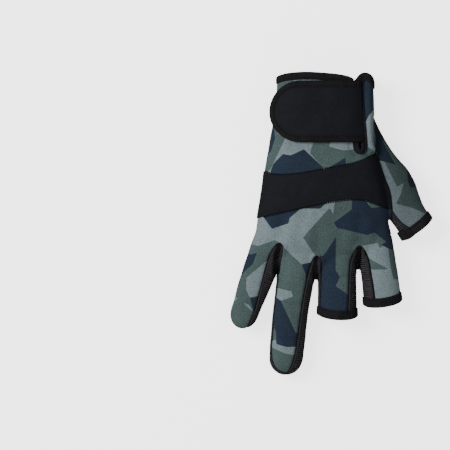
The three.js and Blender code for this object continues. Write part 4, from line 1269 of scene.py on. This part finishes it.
# Wrist strap: a stiffer neoprene tab with a round end that closes over the vent. Its face is smooth, its
# long sides and round end are bound with elastic, and its round end stands a little off the glove.
STRAP_MIDDLE = 91.9
STRAP_HALF = 25.2
STRAP_RIGHT = 25.6
STRAP_LEAN = 0.055
STRAP_TURN = -25.2
STRAP_THICK = 3.0
# the strap's face lies this far over the wrist's arch
STRAP_LIFT = 3.5
TRIM = 5.6


def strap_over(x, y, grow):
    """Height of the strap over the wrist: it follows the arch, then stands off it past the edge."""
    centre, half, _, middle, high = hand_values(y, grow)
    u = (centre - x) / half
    bend = 0.82
    inner = np.clip(np.abs(u), 0, bend)
    z = middle + (high - middle) * (1 - inner ** 2.5) ** 0.4
    slope = (high - middle) / half * bend ** 1.5 * (1 - bend ** 2.5) ** -0.6
    past = np.clip(u - bend, 0, None) * half
    tucked = np.clip((x - 12) / 14, 0, 1.2)
    return z - slope * past - 0.02 * past ** 2 - 2.4 * tucked ** 2


def strap_row(y, inset=0.0):
    """Left end of the strap at a height, drawn in from its outline."""
    reach = STRAP_HALF - inset
    return STRAP_TURN - np.sqrt(np.clip(reach ** 2 - (y - STRAP_MIDDLE) ** 2, 0, None))


def strap_sheet(inset, grow, across=84, along=60):
    """A grid of points over the strap."""
    ease = np.sin(np.linspace(-math.pi / 2, math.pi / 2, along))
    rows = []
    for y in STRAP_MIDDLE + (STRAP_HALF - inset) * ease:
        right = STRAP_RIGHT - STRAP_LEAN * (y - STRAP_MIDDLE)
        x = right + (strap_row(y, inset) - right) * np.linspace(0, 1, across)
        rows.append(np.column_stack([x, np.full(across, y), strap_over(x, y, grow)]))
    return np.array(rows)


def grid_faces(rows, columns):
    return [(i * columns + j, i * columns + j + 1, (i + 1) * columns + j + 1, (i + 1) * columns + j)
            for i in range(rows - 1) for j in range(columns - 1)]


sheet = strap_sheet(1.2, STRAP_LIFT)
sheet[..., 2] += 0.22 * ripple(sheet.reshape(-1, 3), 17.0, 5.0).reshape(sheet.shape[:2])
strap = new_object("wrist_strap_face", sheet.reshape(-1, 3), grid_faces(*sheet.shape[:2]))
if strap.data.polygons[0].normal.z < 0:
    strap.data.flip_normals()
finish_object(strap, "wrist_strap", (black_neoprene,))
strap_wall = strap.modifiers.new("neoprene", "SOLIDIFY")
strap_wall.thickness = (STRAP_THICK - 0.6) * 0.001
strap_wall.offset = -1.0
strap_edge = strap.modifiers.new("rounded", "BEVEL")
strap_edge.width = 0.0006
strap_edge.segments = 3
strap_edge.limit_method = "ANGLE"

turn = np.linspace(math.pi / 2, 3 * math.pi / 2, 64)
shift = STRAP_LEAN * STRAP_HALF
outline = np.vstack([
    np.column_stack([np.linspace(STRAP_RIGHT - shift, STRAP_TURN, 54)[:-1],
                     np.full(53, STRAP_MIDDLE + STRAP_HALF)]),
    np.column_stack([STRAP_TURN + STRAP_HALF * np.cos(turn), STRAP_MIDDLE + STRAP_HALF * np.sin(turn)]),
    np.column_stack([np.linspace(STRAP_TURN, STRAP_RIGHT + shift, 54)[1:],
                     np.full(53, STRAP_MIDDLE - STRAP_HALF)]),
])
way = np.gradient(outline, axis=0)
way /= np.linalg.norm(way, axis=1, keepdims=True)
inner_way = np.column_stack([-way[:, 1], way[:, 0]])
trim_profile = [(TRIM, STRAP_LIFT), (TRIM - 0.1, 3.75), (TRIM - 0.6, 3.95), (TRIM - 1.3, 3.85),
                (TRIM - 2.0, 4.0), (2.0, 4.0), (0.9, 3.9), (0.35, 3.5), (0.0, 2.7), (0.0, 1.6),
                (0.4, 0.9), (1.2, 0.6), (TRIM - 0.5, 0.6), (TRIM - 0.5, 2.0)]
# the elastic is drawn narrower round the end
round_end = np.clip((STRAP_TURN - outline[:, 0]) / STRAP_HALF, 0, 1)
inner_way *= (1 - 0.28 * round_end)[:, None]
grid = np.array([[(*(p + n * d), strap_over(*(p + n * d), h)) for d, h in trim_profile]
                 for p, n in zip(outline, inner_way)])
trim = swept("strap_elastic_trim", grid, False)
lengths = lengths_along(outline)
trim.data.attributes.new("run", "FLOAT", "POINT").data.foreach_set(
    "value", np.repeat(lengths, len(trim_profile)))

# Woven elastic: fine ribs cross it 1.3 mm apart, brownish black beside the neoprene.
woven_elastic, tree, shader, place = start_material(
    "woven_elastic_edging", Roughness=0.85, Specular_IOR_Level=0.08)
weave = add_node(tree, "TexVoronoi", {"Vector": place, "Scale": 900.0, "Randomness": 0.25})
weave = weave.outputs["Distance"]
lint = add_node(tree, "TexNoise", {"Vector": place, "Scale": 200.0, "Detail": 3.0}).outputs["Fac"]
dusty = add_node(tree, "MapRange", {0: lint, 1: 0.45, 2: 0.75, 3: 0.0, 4: 0.35})
run = add_node(tree, "Attribute", attribute_name="run").outputs["Fac"]
phase = add_node(tree, "Math", {0: run, 1: 2 * math.pi / 1.3}, operation="MULTIPLY")
wave = add_node(tree, "Math", {0: phase.outputs[0]}, operation="SINE")
gap = add_node(tree, "MapRange", {0: wave.outputs[0], 1: -0.9, 2: 0.6, 3: 0.6, 4: 0.0})
colour = linear("272528")
for share, code in ((weave, "0C0B0C"), (dusty.outputs[0], "2B292C"), (gap.outputs[0], "090809")):
    colour = add_node(tree, "Mix", {0: share, 6: colour, 7: linear(code)}, data_type="RGBA").outputs[2]
tree.links.new(colour, shader.inputs["Base Color"])
height = add_node(tree, "Math", {0: weave, 1: 0.5, 2: gap.outputs[0]}, operation="MULTIPLY_ADD")
bump = add_node(tree, "Bump", {"Height": height.outputs[0], "Strength": 0.8, "Distance": 0.0005},
                invert=True)
tree.links.new(bump.outputs["Normal"], shader.inputs["Normal"])
finish_object(trim, "strap_trim", (woven_elastic,))

STITCH_IN = TRIM - 1.3
stitch_row = np.array([(*p, strap_over(*p, 3.95)) for p in outline + inner_way * STITCH_IN])
straight_up = np.tile([0.0, 0.0, 1.0], (len(stitch_row), 1))
finish_object(thread("strap_stitches", [(stitch_row, straight_up)]), None, (black_thread,))

low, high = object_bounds()
